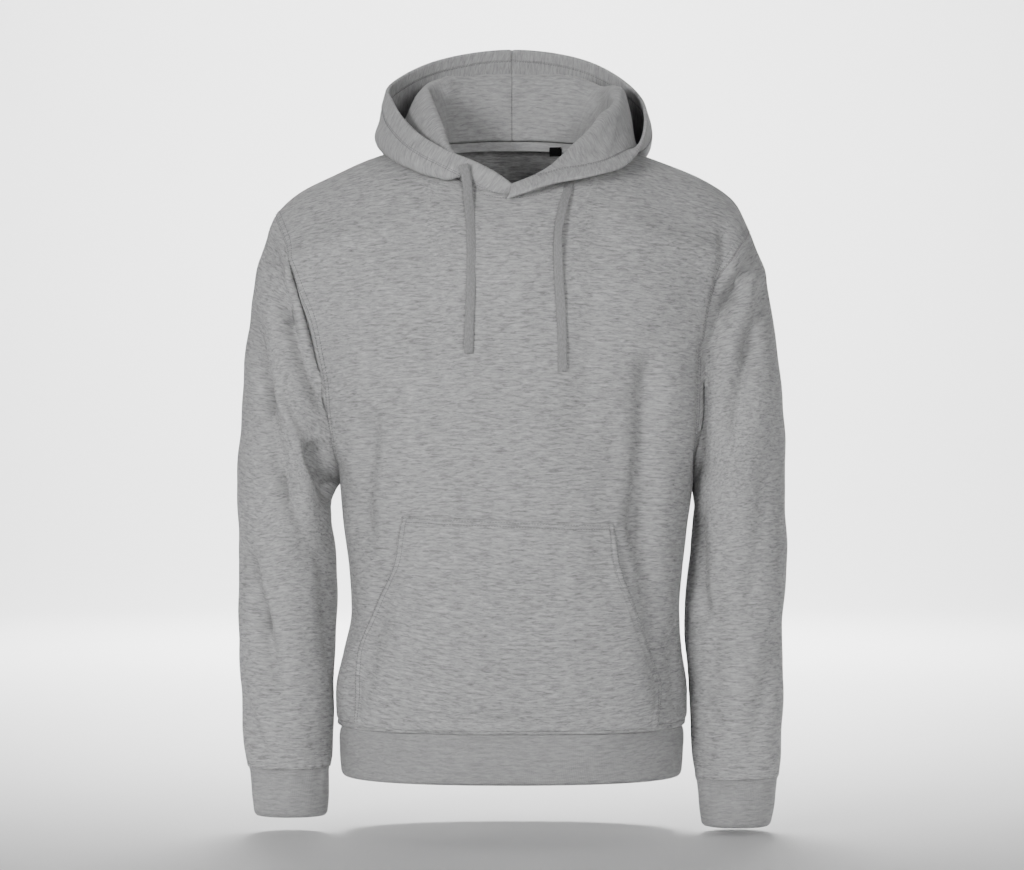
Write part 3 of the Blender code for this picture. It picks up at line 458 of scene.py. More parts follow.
def press_folds(grid, normal, folds):
    """Troughs along lines: depth times a bell across the line, fading past its ends."""
    moved = grid.copy()
    for side, lines in folds.items():
        seen = np.clip(normal[..., 1] * side * 3.0 + 0.1, 0.0, 1.0)
        for x0, z0, x1, z1, depth, half in lines:
            run = np.array([x1 - x0, z1 - z0])
            length = np.hypot(*run)
            run = run / length
            offset = grid[..., [0, 2]] - (x0, z0)
            along = offset @ run
            beside = offset[..., 0] * run[1] - offset[..., 1] * run[0]
            past = np.maximum(np.maximum(-along, along - length), 0.0)
            dip = bell(beside, 0.0, half) * bell(past, 0.0, 1.6 * half)
            moved -= normal * (depth * dip * seen)[..., None]
    return moved


def swell(grid, normal, strength=1.0):
    """Moves points along their normals by a sum of slow sine waves through space."""
    height = np.zeros(grid.shape[:-1])
    for wx, wy, wz, start, size in SWELLS:
        height += size * np.sin(2 * np.pi * (grid @ np.array([wx, wy, wz])) + start)
    return grid + normal * (height * strength)[..., None]


# Meshes -------------------------------------------------------------------------------------

# turns, in degrees, of the bands that close a wall's edge from its outer face to its inner one
EDGE_TURNS = (45.0, 90.0, 135.0)
# a thread: places of its rings along it, how full each ring is and how far it stands up
THREAD_ALONG = np.array([0.0, 0.18, 0.5, 0.82, 1.0])
THREAD_GIRTH = np.array([0.25, 0.85, 1.0, 0.85, 0.25])
THREAD_RISE = np.array([-0.6, 0.4, 0.7, 0.4, -0.6])
THREAD_SIDES = 6
THREAD_POINTS = THREAD_SIDES * len(THREAD_ALONG)


def finish_piece(name, points, quads, uv, finish, node=None, masks=None):
    """One mesh piece in the frame: quads of point numbers, with a UV place for each corner."""
    mesh = bpy.data.meshes.new(name)
    mesh.vertices.add(len(points))
    mesh.vertices.foreach_set("co", np.asarray(points, np.float32).ravel())
    quads = np.asarray(quads, np.int32)
    mesh.loops.add(quads.size)
    mesh.loops.foreach_set("vertex_index", quads.ravel())
    mesh.polygons.add(len(quads))
    mesh.polygons.foreach_set("loop_start", np.arange(0, quads.size, quads.shape[1], dtype=np.int32))
    layer = mesh.uv_layers.new(name="cloth")
    layer.data.foreach_set("uv", np.asarray(uv, np.float32).ravel())
    for label, values in (masks or {}).items():
        attribute = mesh.attributes.new(label, "FLOAT", "POINT")
        attribute.data.foreach_set("value", np.asarray(values, np.float32))
    mesh.update(calc_edges=True)
    mesh.validate()
    mesh.shade_smooth()
    piece = bpy.data.objects.new(name, mesh)
    bpy.context.scene.collection.objects.link(piece)
    mesh.materials.append(finish)
    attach(piece, "root")
    if node:
        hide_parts(node)
    return piece


def grid_quads(rows, columns, closed):
    """Corners of a grid's quads as rows and columns; a closed grid's last column meets its first."""
    r, c = np.meshgrid(np.arange(rows - 1), np.arange(columns if closed else columns - 1), indexing="ij")
    corner_r = np.stack([r, r + 1, r + 1, r], axis=-1).reshape(-1, 4)
    corner_c = np.stack([c, c, c + 1, c + 1], axis=-1).reshape(-1, 4)
    return corner_r, corner_c


def wall(name, grid, normal, thickness, uv, finish, slot, node=None, closed=False, free=(), masks=None):
    """A closed shell about middle points, half the thickness to each side along the normals.

    Its edges are closed by a strip of bands: on the sides named in free (top, bottom, start, end)
    the strip is a half round that stands out by half the thickness, and elsewhere it is flat.
    """
    rows, columns = grid.shape[:2]
    count = rows * columns
    index = np.arange(count).reshape(rows, columns)
    out = np.zeros(grid.shape)
    for side, edge, inner in (("top", np.s_[0], np.s_[1]), ("bottom", np.s_[-1], np.s_[-2]),
                              ("start", np.s_[:, 0], np.s_[:, 1]), ("end", np.s_[:, -1], np.s_[:, -2])):
        if side in free:
            out[edge] += unit(grid[edge] - grid[inner])
    plain = np.cross(grid[1, 0] - grid[0, 0], grid[0, 1] - grid[0, 0])
    outer, inner = (-1, 1) if np.dot(plain, normal[0, 0]) < 0 else (1, -1)
    r, c = grid_quads(rows, columns, closed)
    face, place = index[r, c % columns], uv[r, c]
    quads = [face[:, ::outer], count + face[:, ::inner]]
    places = [place[:, ::outer], place[:, ::inner]]
    half = np.broadcast_to(np.asarray(thickness, float) / 2, (rows, columns))[..., None]
    middle, lift, out = (part.reshape(-1, 3) for part in (grid, normal * half, out * half))
    edge_uv = uv[:, :columns].reshape(-1, 2)
    if closed:
        rings = [index[0], np.roll(index[-1, ::-1], 1)]
    else:
        rings = [np.concatenate([index[0, :-1], index[:-1, -1], index[-1, :0:-1], index[:0:-1, 0]])]
    points = [middle + lift, middle - lift]
    source = [index.ravel(), index.ravel()]
    made = 2 * count
    for ring in rings:
        bands = [ring]
        for turn in np.radians(EDGE_TURNS):
            points.append(middle[ring] + out[ring] * np.sin(turn) + lift[ring] * np.cos(turn))
            source.append(ring)
            bands.append(made + np.arange(len(ring)))
            made += len(ring)
        bands.append(count + ring)
        beside = np.roll(ring, -1)
        strip_uv = edge_uv[np.stack([ring, beside, beside, ring], axis=1)]
        for near, far in zip(bands[:-1], bands[1:]):
            strip = np.stack([near, np.roll(near, -1), np.roll(far, -1), far], axis=1)
            quads.append(strip[:, ::outer])
            places.append(strip_uv[:, ::outer])
    source = np.concatenate(source)
    masks = {label: values.ravel()[source] for label, values in (masks or {}).items()}
    return finish_piece(name, np.concatenate(points), np.concatenate(quads), np.concatenate(places), finish,
                        node, masks)


def stitch_row(path, normal, pitch, length, thick, lift):
    """Threads along a line: each a spindle of rings, drawn in and sunk at the ends, on the cloth."""
    run = run_lengths(path[None], 1)[0]
    starts = np.arange(pitch * 0.4, run[-1] - length, pitch)
    where = starts[:, None] + THREAD_ALONG * length
    centre = between(where, run, path)
    up = unit(between(where, run, normal))
    side = unit(np.cross(unit(centre[:, -1:] - centre[:, :1]), up))
    centre = centre + up * (lift + THREAD_RISE[:, None] * thick / 2)
    angle = np.arange(THREAD_SIDES) / THREAD_SIDES * 2 * np.pi
    ring = side[:, :, None] * np.cos(angle)[:, None] + up[:, :, None] * np.sin(angle)[:, None]
    return (centre[:, :, None] + ring * (THREAD_GIRTH * thick / 2)[:, None, None]).reshape(-1, 3)


def stitch_quads(threads):
    """Faces of that many threads: the sides of each spindle, and two quads over each end."""
    k = np.arange(THREAD_SIDES)
    after = (k + 1) % THREAD_SIDES
    one = [np.stack([low + THREAD_SIDES + k, low + THREAD_SIDES + after, low + after, low + k], axis=1)
           for low in range(0, THREAD_POINTS - THREAD_SIDES, THREAD_SIDES)]
    one.append([(0, 1, 2, 3), (0, 3, 4, 5), (27, 26, 25, 24), (29, 28, 27, 24)])
    return (np.concatenate(one) + THREAD_POINTS * np.arange(threads)[:, None, None]).reshape(-1, 4)


def add_stitches(name, rows, finish):
    """One piece of all the threads along some lines, whose rows hold what stitch_row asks for."""
    points = np.concatenate([stitch_row(*row) for row in rows])
    quads = stitch_quads(len(points) // THREAD_POINTS)
    return finish_piece(name, points, quads, points[quads][..., [0, 2]], finish)


# Garment surfaces ---------------------------------------------------------------------------


def side_edge(z, hand):
    """Half width of the body at a height, on one hand."""
    return smooth(z, SIDE[hand]["z"], SIDE[hand]["x"])


def body_y(x, z, shape, hand, side):
    """Depth of the body: a quarter ellipse down from the shoulder's ridge, times the section."""
    ridge = smooth(x, SHOULDER["x"], SHOULDER[hand])
    back = smooth(x, SHOULDER["x"], SHOULDER["back"])
    drop = np.clip((ridge - z) / ROUNDING[side], 0.0, 1.0)
    full = np.sqrt(1.0 - (1.0 - drop) ** 2)
    bulge = DEPTH[side] * smooth(z, FULLNESS["z"], FULLNESS["share"])
    return side * bulge * full * shape + back * (1 - drop)


def neck_z(x, side):
    """Height of the neck edge at a half width."""
    shoulder = smooth(NECK_HALF, SHOULDER["x"], SHOULDER[LEFT])
    return NECK_Z[side] + (shoulder - NECK_Z[side]) * (x / NECK_HALF) ** NECK_POWER


def arm_shares(rows):
    """Shares of the way down the armhole, closer at both ends."""
    level = np.linspace(0.0, 1.0, rows + 1)
    return edged((1 - np.cos(np.pi * level)) / 4 + level / 2, SEAM_SHARE)


def half_panel(hand, side, cloth):
    """Middle surface of one hand of the front or back, rows from the top edge to the hem seam.

    Each row runs from the middle to the side edge. A point's half width is the edge's times
    sin(turn) to a power, and its depth the body's times cos(turn) to the same power.
    """
    tip_x, tip_z = SIDE[hand]["x"][0], SIDE[hand]["z"][0]
    first = np.radians(REACH["degrees"][0])
    neck = np.arcsin((NECK_HALF / tip_x) ** (1 / SECTION_POWER) * np.sin(first)) / first
    inside = np.linspace(0.0, neck, cloth.neck_columns + 1)
    outside = edged(np.linspace(neck, 1.0, cloth.shoulder_columns + 1), SEAM_TURN)
    turns = np.concatenate([inside, outside[1:]])
    top_x = tip_x * (np.sin(first * turns) / np.sin(first)) ** SECTION_POWER
    within = np.arange(len(turns)) < cloth.neck_columns
    top_z = np.where(within, neck_z(np.minimum(top_x, NECK_HALF), side),
                     smooth(top_x, SHOULDER["x"], SHOULDER[hand]))
    top_z[-1] = tip_z
    down = arm_shares(cloth.arm_rows)
    reach = np.radians(smooth(down, REACH["down"], REACH["degrees"]))
    edge = side_edge(tip_z + (UNDERARM_Z - tip_z) * down, hand)
    low = np.linspace(UNDERARM_Z, HEM_SEAM_Z + HEM_ROWS[0] + 0.0015, cloth.low_rows + 1)[1:]
    low = np.concatenate([low, HEM_SEAM_Z + HEM_ROWS])
    z = np.concatenate([top_z + (UNDERARM_Z - top_z) * down[:, None], low[:, None] + 0 * turns])
    reach = np.concatenate([reach, np.full(len(low), np.pi / 2)])[:, None]
    edge = np.concatenate([edge, side_edge(low, hand)])[:, None]
    x = edge * (np.sin(reach * turns) / np.sin(reach)) ** SECTION_POWER
    shape = np.maximum(np.cos(reach * turns), 0.0) ** SECTION_POWER
    return np.stack([hand * x, body_y(x, z, shape, hand, side), z], axis=2)


def panel(side, name, cloth):
    """Middle surface and normals of the whole front or back, from -X to +X, with its folds."""
    left, right = (half_panel(hand, side, cloth) for hand in HANDS)
    grid = np.concatenate([left[:, ::-1], right[:, 1:]], axis=1)
    normal = grid_normals(grid, False)
    if np.sum(normal[cloth.arm_rows, :, 1]) * side < 0:
        normal = -normal
    grid = press_folds(grid, normal, FOLDS[name])
    still = ramp(run_lengths(grid, 1), EDGE_STILL)
    still = still * still[:, ::-1] * ramp(run_lengths(grid, 0), EDGE_STILL)
    grid = swell(grid, normal * still[..., None])
    above = run_lengths(grid[::-1], 0)[::-1]
    sewn_down = 0.0012 * bell(above, HEM_STITCH, 0.0014) - 0.0009 * bell(above, HEM_PUFF, 0.0018)
    grid = grid - normal * sewn_down[..., None]
    fresh = grid_normals(grid, False)
    normal = fresh * np.sign(np.sum((normal * fresh)[cloth.arm_rows]))
    shoulder = np.abs(grid[0, :, 0]) > NECK_HALF - 0.001
    normal[0, shoulder, 1] = 0.0
    normal[cloth.arm_rows + 3:, [0, -1], 1] = 0.0
    normal[-1, :, 2] = 0.0
    return grid, unit(normal)


def armhole(panels, hand, cloth):
    """Points and normals of an armhole's edge: top, down the front, underarm, up the back."""
    column = 0 if hand == LEFT else -1
    rows = cloth.arm_rows + 3
    ring = []
    for front, back in zip(panels[FRONT], panels[BACK]):
        front, back = front[:rows, column], back[:rows, column]
        mixed = np.concatenate([front, back[-2:0:-1]])
        mixed[[0, rows - 1]] = (front[[0, -1]] + back[[0, -1]]) / 2
        ring.append(mixed)
    return ring


def full_turn(arm_rows):
    """Turns round a sleeve: down its front and up its back, at the armhole's rows."""
    front = np.arccos(1 - 2 * arm_shares(arm_rows))
    return np.concatenate([front, 2 * np.pi - front[-2:0:-1]])


def sleeve(hand, name, panels, cloth):
    """Middle surface of a sleeve: slanting ellipses blended from the armhole to the cuff's seam."""
    edge, edge_normal = armhole(panels, hand, cloth)
    table = SLEEVE[hand]
    where = edged(np.linspace(0.0, 1.0, cloth.sleeve_rows), SEAM_SHARE)
    knots = np.linspace(0.0, 1.0, len(table))
    outer_x, outer_z, inner_x, inner_z, deep, middle = (
        smooth(where, knots, column)[:, None] for column in table.T
    )
    angle = full_turn(cloth.arm_rows)[None]
    x = hand * ((outer_x + inner_x) / 2 + (outer_x - inner_x) / 2 * np.cos(angle))
    z = (outer_z + inner_z) / 2 + (outer_z - inner_z) / 2 * np.cos(angle)
    grid = np.stack([x, middle - deep * np.sin(angle), z], axis=2)
    fade = np.clip(1.0 - where / ARMHOLE_FADE, 0.0, 1.0)
    grid = grid + (fade * fade * (3 - 2 * fade))[:, None, None] * (edge - grid[0])
    normal = outward_normals(grid)
    pressed = press_folds(grid, normal, FOLDS[name])
    held = ramp(where, 0.06) * ramp(1 - where, 0.05)
    ring = grid[0].copy()
    gather = 0.0007 * np.sin(angle * 23 + 1.1 * np.sin(angle * 3)) * bell(where[:, None], 1.0, 0.045)
    gather[-1] = 0.0
    grid = swell(pressed, normal * held[:, None, None], 1.3) + normal * gather[..., None]
    grid[0] = ring
    normal = outward_normals(grid)
    normal[-1, :, 2] = 0.0
    normal[0] = unit(normal[0]) + edge_normal
    return grid, unit(normal)


def crumpled(grid, share, height):
    """A band moved along its normals between its edges, and its normals, level at the edges."""
    within = (share > 0) * (share < 1)
    grid = grid + outward_normals(grid) * (height * within)[..., None]
    normal = outward_normals(grid)
    normal[[0, -1], :, 2] = 0.0
    return grid, unit(normal)


def hem_grid(cloth):
    """Hem band: the body's section drawn in a little, full in the middle and folded in at the end."""
    angle = np.linspace(0.0, np.pi / 2, cloth.neck_columns + cloth.shoulder_columns + 1)
    share = np.concatenate([[0.0, 0.02, 0.05, 0.1], np.linspace(0.17, 0.86, 12), [0.92, 0.96, 0.985, 1.0]])
    inset = smooth(share, HEM_INSET["share"], HEM_INSET["inset"])[:, None]
    z = HEM_SEAM_Z - share[:, None] * (HEM_SEAM_Z - HEM_END_Z)
    shape = np.cos(angle).clip(0.0) ** SECTION_POWER
    quarters = []
    for hand, side in ((RIGHT, FRONT), (RIGHT, BACK), (LEFT, BACK), (LEFT, FRONT)):
        x = (side_edge(HEM_SEAM_Z, hand) - inset) * np.sin(angle) ** SECTION_POWER
        y = body_y(0 * x, z + 0 * x, shape, hand, side) - side * inset * shape
        quarter = np.stack([hand * x, y, z + 0 * x], axis=2)
        quarters.append((quarter if hand * side < 0 else quarter[:, ::-1])[:, :-1])
    return np.concatenate(quarters, axis=1), share[:, None]


def hem_wall(cloth):
    """The hem band with its crumples: creases along it that the seam's pull leaves."""
    grid, share = hem_grid(cloth)
    normal = outward_normals(grid)
    around = run_lengths(wrapped(grid), 1)[:, :-1]
    pull = 0.0016 * np.sin(around * 61 + 2 * np.sin(around * 17)) * bell(share, 0.22, 0.20)
    sag = 0.0009 * np.sin(around * 19 + 0.6) * np.sin(np.pi * share)
    grid = grid + normal * ((pull + sag) * (share > 0) * (share < 1))[..., None]
    front = np.clip(normal[..., 1] * -3, 0, 1)
    for x, half, place, depth in HEM_DIPS:
        dip = np.exp(-(((grid[..., 0] - x) / half) ** 4)) * bell(share, place, 0.11)
        grid = grid - normal * (depth * dip * front)[..., None]
    return crumpled(grid, share, 0 * share)


def cuff_wall(hand, ring, cloth):
    """Cuff: draws the sleeve in over a short step, then runs down to its folded end."""
    outer_top, inner_top, outer_end, inner_end = CUFF[hand]
    angle = full_turn(cloth.arm_rows)
    share = np.concatenate([[0.0, 0.02, 0.05, 0.09, 0.14], np.linspace(0.22, 0.86, 10), [0.92, 0.96, 1.0]])
    share = share[:, None]
    wide = smooth(share, CUFF_WIDER["share"], CUFF_WIDER["by"])
    outer = outer_top + (outer_end - outer_top) * share + wide
    inner = inner_top + (inner_end - inner_top) * share - wide
    x = hand * ((outer + inner) / 2 + (outer - inner) / 2 * np.cos(angle))
    middle = ring.mean(axis=0)
    y = middle[1] - (CUFF_DEPTH + 2 * wide) * np.sin(angle)
    z = middle[2] + (ring[:, 2] - middle[2]) * (1 - share) - share * CUFF_HEIGHT
    pucker = 0.0008 * np.sin(angle * 15 + 1.5 * np.sin(angle * 2 + hand)) * bell(share, 0.16, 0.18)
    sag = 0.0007 * np.sin(angle * 5 + hand) * np.sin(np.pi * share)
    return crumpled(np.stack([x, y, z], axis=2), share, pucker + sag)


def neck_line(panels, hand, cloth):
    """The neck edge on one hand, front to back: shares along it, points, normals, the cloth's rise."""
    middle = cloth.neck_columns + cloth.shoulder_columns + 2
    columns = middle + hand * np.arange(cloth.neck_columns + 1)
    joined = []
    for front, back in zip(panels[FRONT], panels[BACK]):
        front, back = front[0, columns], back[0, columns]
        joined.append(np.concatenate([front[:-1], (front[-1:] + back[-1:]) / 2, back[-2::-1]]))
    points, normal = joined[0], unit(joined[1])
    rise = np.cross(normal, np.gradient(points, axis=0)) * hand
    rise[[0, -1], 0] = 0.0
    run = run_lengths(points[None], 1)[0]
    corner = run[cloth.neck_columns]
    share = np.where(run < corner, run / corner * NECK_SIDE,
                     NECK_SIDE + (run - corner) / (run[-1] - corner) * (1 - NECK_SIDE))
    return share, points, normal, unit(rise)


def hood(panels, hand, cloth):
    """Middle surface of a hood half: each column is a B-spline from neck to crest, valley and rim."""
    table = HOOD[hand]
    beyond = table[-2].copy()
    beyond[0] = 2 - beyond[0]
    beyond[[1, 4, 7]] *= -1
    table = np.vstack([table, beyond])
    along = np.linspace(0.0, 1.0, cloth.hood_columns)
    along = np.insert(along, -1, 1.0 - 0.004)
    crest, valley, rim, fold = np.split(rounded(along, table[:, 0], table[:, 1:]), (3, 6, 9), axis=1)
    fold = np.maximum(fold, 0.0)
    folded = ramp(fold, FOLD_START)
    share, *lines = neck_line(panels, hand, cloth)
    neck, normal, rise = (between(along, share, line) for line in lines)
    third = (rim - neck) / 3
    crest = neck + third + (crest - neck - third) * folded
    valley = rim - third + (valley - rim + third) * folded
    outward = unit((valley - crest) * LEVEL)
    lift = smooth(along, HOOD_RISE["along"], HOOD_RISE["lift"])[:, None]
    lift = np.minimum(lift, 0.25 * np.linalg.norm(crest - neck, axis=1, keepdims=True))
    high = crest + UP * fold * 0.9
    low = valley - UP * fold * 0.3
    bulge = outward * fold * ramp(rim[:, 2:] - valley[:, 2:], BAG_RISE)
    outward = outward * fold
    controls = (
        neck,
        neck + rise * lift,
        (neck + high) / 2,
        high - outward,
        high + outward,
        (high + low) / 2 + bulge * 0.2,
        low - bulge,
        low + bulge * 1.3,
        (low + rim) / 2 + bulge * 1.4,
        rim * 0.85 + low * 0.15 + bulge * 0.4,
        rim,
    )
    shares = np.concatenate([[0.0, 0.012], np.linspace(0.03, 1.0, cloth.hood_rows)])
    return bspline(np.stack(controls, axis=1), shares), along, normal


def casing_width(along):
    """Width of the folded casing along the rim, which rolls back over the head."""
    return CASING_WIDTH * smooth(along, CASING_SHOWN["along"], CASING_SHOWN["share"])


def hood_wall(panels, hand, cloth):
    """The hood half on rows that keep their distance from the rim, so that the casing is even.

    Each column is measured from the rim, and its rows are set at fixed distances over the casing
    and evenly over the rest. Creases and swells then move it along its normals. Gives the points,
    normals, thickness, where the knit runs upright, and the places of the columns along the half.
    """
    fine, along, neck_normal = hood(panels, hand, cloth)
    fine = fine[::-1]
    from_rim = run_lengths(fine, 0)
    total = from_rim[-1]
    casing = casing_width(along)
    near = CASING_ROWS[:, None] * casing
    far = np.linspace(0.0, 1.0, cloth.hood_rows - len(near) + 1)[1:]
    far = np.insert(far, -1, 0.994)[:, None]
    distance = np.concatenate([near, near[-1] + far * (total - near[-1])])
    columns = [between(distance[:, c], from_rim[:, c], fine[:, c]) for c in range(len(along))]
    grid = np.stack(columns, axis=1)[::-1]
    distance = distance[::-1]
    normal = grid_normals(grid, False)
    if np.sum(normal[2] * neck_normal) < 0:
        normal = -normal
    x, y = along[None, :], 1 - distance / total
    moved = 0.0009 * np.sin(x * 31 + y * 9 + hand) * np.sin(y * 17 + x * 5)
    for x0, y0, wide, tall, depth in HOOD_CREASES[hand]:
        moved = moved + depth * bell(x, x0, wide) * bell(y, y0, tall)
    held = ramp(distance, EDGE_STILL) * ramp(total - distance, EDGE_STILL)
    held = held * ramp(total, 0.08) * ramp(1 - x, 0.05)
    grid = grid + normal * (moved * held)[..., None]
    fresh = grid_normals(grid, False)
    normal = fresh * np.sign(np.sum(normal * fresh))
    normal[0] = neck_normal
    normal[:, -1, 0] = 0.0
    grid[:, -1, 0] = 0.0
    normal[:, 0, 0] *= 0.2
    on_casing = ramp(casing * 1.02 - distance, 0.10 * casing)
    groove = bell(distance / casing, 0.92, 0.06) * 0.35 * ramp(total, 0.06)
    body = cloth.fleece * 1.3
    thickness = (body + (cloth.casing - body) * on_casing) * (1 - groove)
    thickness[0] *= 0.5
    thickness[:, -1] *= 0.55
    upright = np.clip(ramp(0.80 - x, 0.12) + ramp(y - 0.62, 0.08), 0, 1)
    return grid, unit(normal), thickness, upright, along


def front_depth(front, x, z):
    """Depth of the front's middle surface at places seen from the front, below the underarm."""
    heights = front[:, front.shape[1] // 2, 2]
    table = np.array([np.interp(x, row[:, 0], row[:, 1]) for row in front])
    at = np.clip(np.interp(-z, -heights, np.arange(len(heights))), 0, len(heights) - 1.001)
    low = at.astype(int)
    part = at - low
    column = np.arange(len(x))
    return table[low, column] * (1 - part) + table[low + 1, column] * part


def pocket_wall(front, cloth):
    """Pocket: the front's own points inside its outline, moved out, its hand openings a little proud."""
    top, bottom = POCKET["z"][0], HEM_SEAM_Z + 0.0025
    down = np.concatenate([POCKET_DOWN, np.linspace(0.046, 1.0, cloth.pocket_rows)])
    middle = np.linspace(0.045, 0.955, cloth.pocket_columns)
    across = np.concatenate([POCKET_NEAR, middle, 1 - POCKET_NEAR[::-1]])
    rows = []
    for share in down:
        z = top + (bottom - top) * share
        left, right = (smooth(max(z, POCKET["z"][-1]), POCKET["z"], POCKET[hand]) for hand in HANDS)
        x = -left + (left + right) * across
        height = z - POCKET_TILT * (x + POCKET[LEFT][0]) / POCKET_TOP * (1 - share)
        rows.append(np.stack([x, front_depth(front, x, height), height], axis=1))
    grid = np.array(rows)
    normal = grid_normals(grid, False)
    normal = normal if normal[..., 1].sum() < 0 else -normal
    a, d = across[None, :], down[:, None]
    opening = ramp(d - 0.02, 0.08) * ramp(0.58 - d, 0.12)
    side = bell(a, 0.0, 0.05) + bell(1 - a, 0.0, 0.05)
    below, inside = d * (top - bottom), np.minimum(a, 1 - a) * 0.255
    pressed = POCKET_GROOVE * (bell(below, 0.0057, 0.0011) + bell(inside, 0.0059, 0.0011)
                               + bell(below, 0.0, 0.0013) + bell(inside, 0.0, 0.0013))
    belly = np.sin(np.pi * a) * np.sin(np.pi * np.minimum(d * 1.02, 1))
    lift = cloth.fleece + 0.0004 + 0.0016 * opening * side + 0.0012 * belly
    return grid + normal * (lift - pressed)[..., None], normal


def tape_surface(panels, cloth):
    """The tape over the back neck seam: the seam's line moved inwards, its rows going down."""
    where = np.linspace(TAPE_START, 1.0, TAPE_COLUMNS + 1)
    halves = []
    for hand in HANDS:
        share, points, normals, _ = neck_line(panels, hand, cloth)
        halves.append([between(where, share, points), between(where, share, normals)])
    line, normal = (np.concatenate([left, right[-2::-1]]) for left, right in zip(*halves))
    inward = unit(normal * LEVEL)
    down = np.linspace(0.0, 1.0, 9)[:, None, None]
    wave = 0.0003 * np.sin(run_lengths(line[None], 1)[0] * 140)[None, :, None] * np.sin(np.pi * down)
    grid = line - inward * (TAPE_INSET + wave) - UP * (TAPE_TOP + down * TAPE_WIDTH)
    return grid, np.broadcast_to(inward, grid.shape)


def label_surface(grid, normal):
    """The label's loop: down from under the tape's edge, round at the bottom and back up behind."""
    place = int(round((2 - LABEL_ALONG - TAPE_START) / (1 - TAPE_START) * TAPE_COLUMNS))
    across = unit((grid[0, place + 1] - grid[0, place - 1]) * LEVEL)
    face = -unit(normal[0, place] * LEVEL)
    turn = np.linspace(0.0, np.pi, 9)[1:-1]
    straight = LABEL_DROP - LABEL_FOLD
    drop = np.concatenate([np.linspace(0.0, straight, 8), straight + LABEL_FOLD * np.sin(turn),
                           np.linspace(straight, 0.002, 7)])
    out = np.concatenate([np.full(8, LABEL_FOLD), LABEL_FOLD * np.cos(turn), np.full(7, -LABEL_FOLD)])
    lean = 0.0006 * np.sin(drop / LABEL_DROP * np.pi)
    top = grid[4, place] + face * 0.0022
    side = np.linspace(-LABEL_WIDTH / 2, LABEL_WIDTH / 2, 7)[None, :, None]
    loop = top + across * side + (face * (out + lean)[:, None] - UP * drop[:, None])[:, None]
    bend = grid_normals(loop, False)
    return loop, bend if np.sum(bend[3] * face) > 0 else -bend


def inset_line(grid, normal, edge, distance, first=0.0, last=1.0):
    """The line on a surface that keeps one distance from an edge, with the normals along it."""
    if edge in ("start", "end"):
        grid, normal = grid.transpose(1, 0, 2), normal.transpose(1, 0, 2)
    if edge in ("bottom", "end"):
        grid, normal = grid[::-1], normal[::-1]
    away = run_lengths(grid, 0)
    count = grid.shape[1]
    distance = np.broadcast_to(distance, count)
    keep = range(int(round(first * (count - 1))), int(round(last * (count - 1))) + 1)
    path, out = (np.array([between(distance[c], away[:, c], what[:, c]) for c in keep])
                 for what in (grid, normal))
    return path, unit(out)


def cord_surface(hand, width, thick):
    """Flat cord: a squashed round section, square at the sides, carried along a smooth route."""
    table = np.array(CORD[hand], float)
    knots = run_lengths(table[None, :, :3], 1)[0]
    where = np.linspace(0.0, knots[-1], CORD_RINGS)
    track = rounded(where, knots, table)
    centre = track[:, :3]
    run = unit(np.gradient(centre, axis=0))
    turn = np.radians(track[:, 3])
    across = np.stack([np.cos(turn), np.sin(turn), 0 * turn], axis=1)
    across = unit(across - run * np.sum(across * run, axis=1, keepdims=True))
    out = np.cross(run, across)
    angle = np.arange(CORD_SIDES) / CORD_SIDES * 2 * np.pi
    left = (knots[-1] - where)[:, None]
    pressed = bell(left, 0.009, 0.0016) * 0.35 + ramp(0.0012 - left, 0.0012) * 0.45
    waist = 1 - 0.03 * (np.sin(where * 95) * np.sin(where * 31))[:, None] - 0.06 * pressed
    wide = width / 2 * waist * np.sign(np.cos(angle)) * np.abs(np.cos(angle)) ** 0.75
    deep = thick / 2 * (1 - pressed) * np.sign(np.sin(angle)) * np.abs(np.sin(angle)) ** 0.9
    rings = centre[:, None] + across[:, None] * wide[..., None] + out[:, None] * deep[..., None]
    return rings, centre, where


# Materials ----------------------------------------------------------------------------------


class Socket:
    """An output of a material's node. Arithmetic on it adds Math nodes to that material."""

    def __init__(self, finish, output):
        self.finish = finish
        self.output = output

    def math(self, operation, *others):
        """A Math node of that operation on this value and the others."""
        return self.finish.add("ShaderNodeMath", {"operation": operation}, dict(enumerate((self,) + others)))

    def __add__(self, other):
        return self.math("ADD", other)

    def __sub__(self, other):
        return self.math("SUBTRACT", other)

    def __rsub__(self, other):
        return self.finish.add("ShaderNodeMath", {"operation": "SUBTRACT"}, {0: other, 1: self})

    def __mul__(self, other):
        return self.math("MULTIPLY", other)

    __radd__ = __add__
    __rmul__ = __mul__


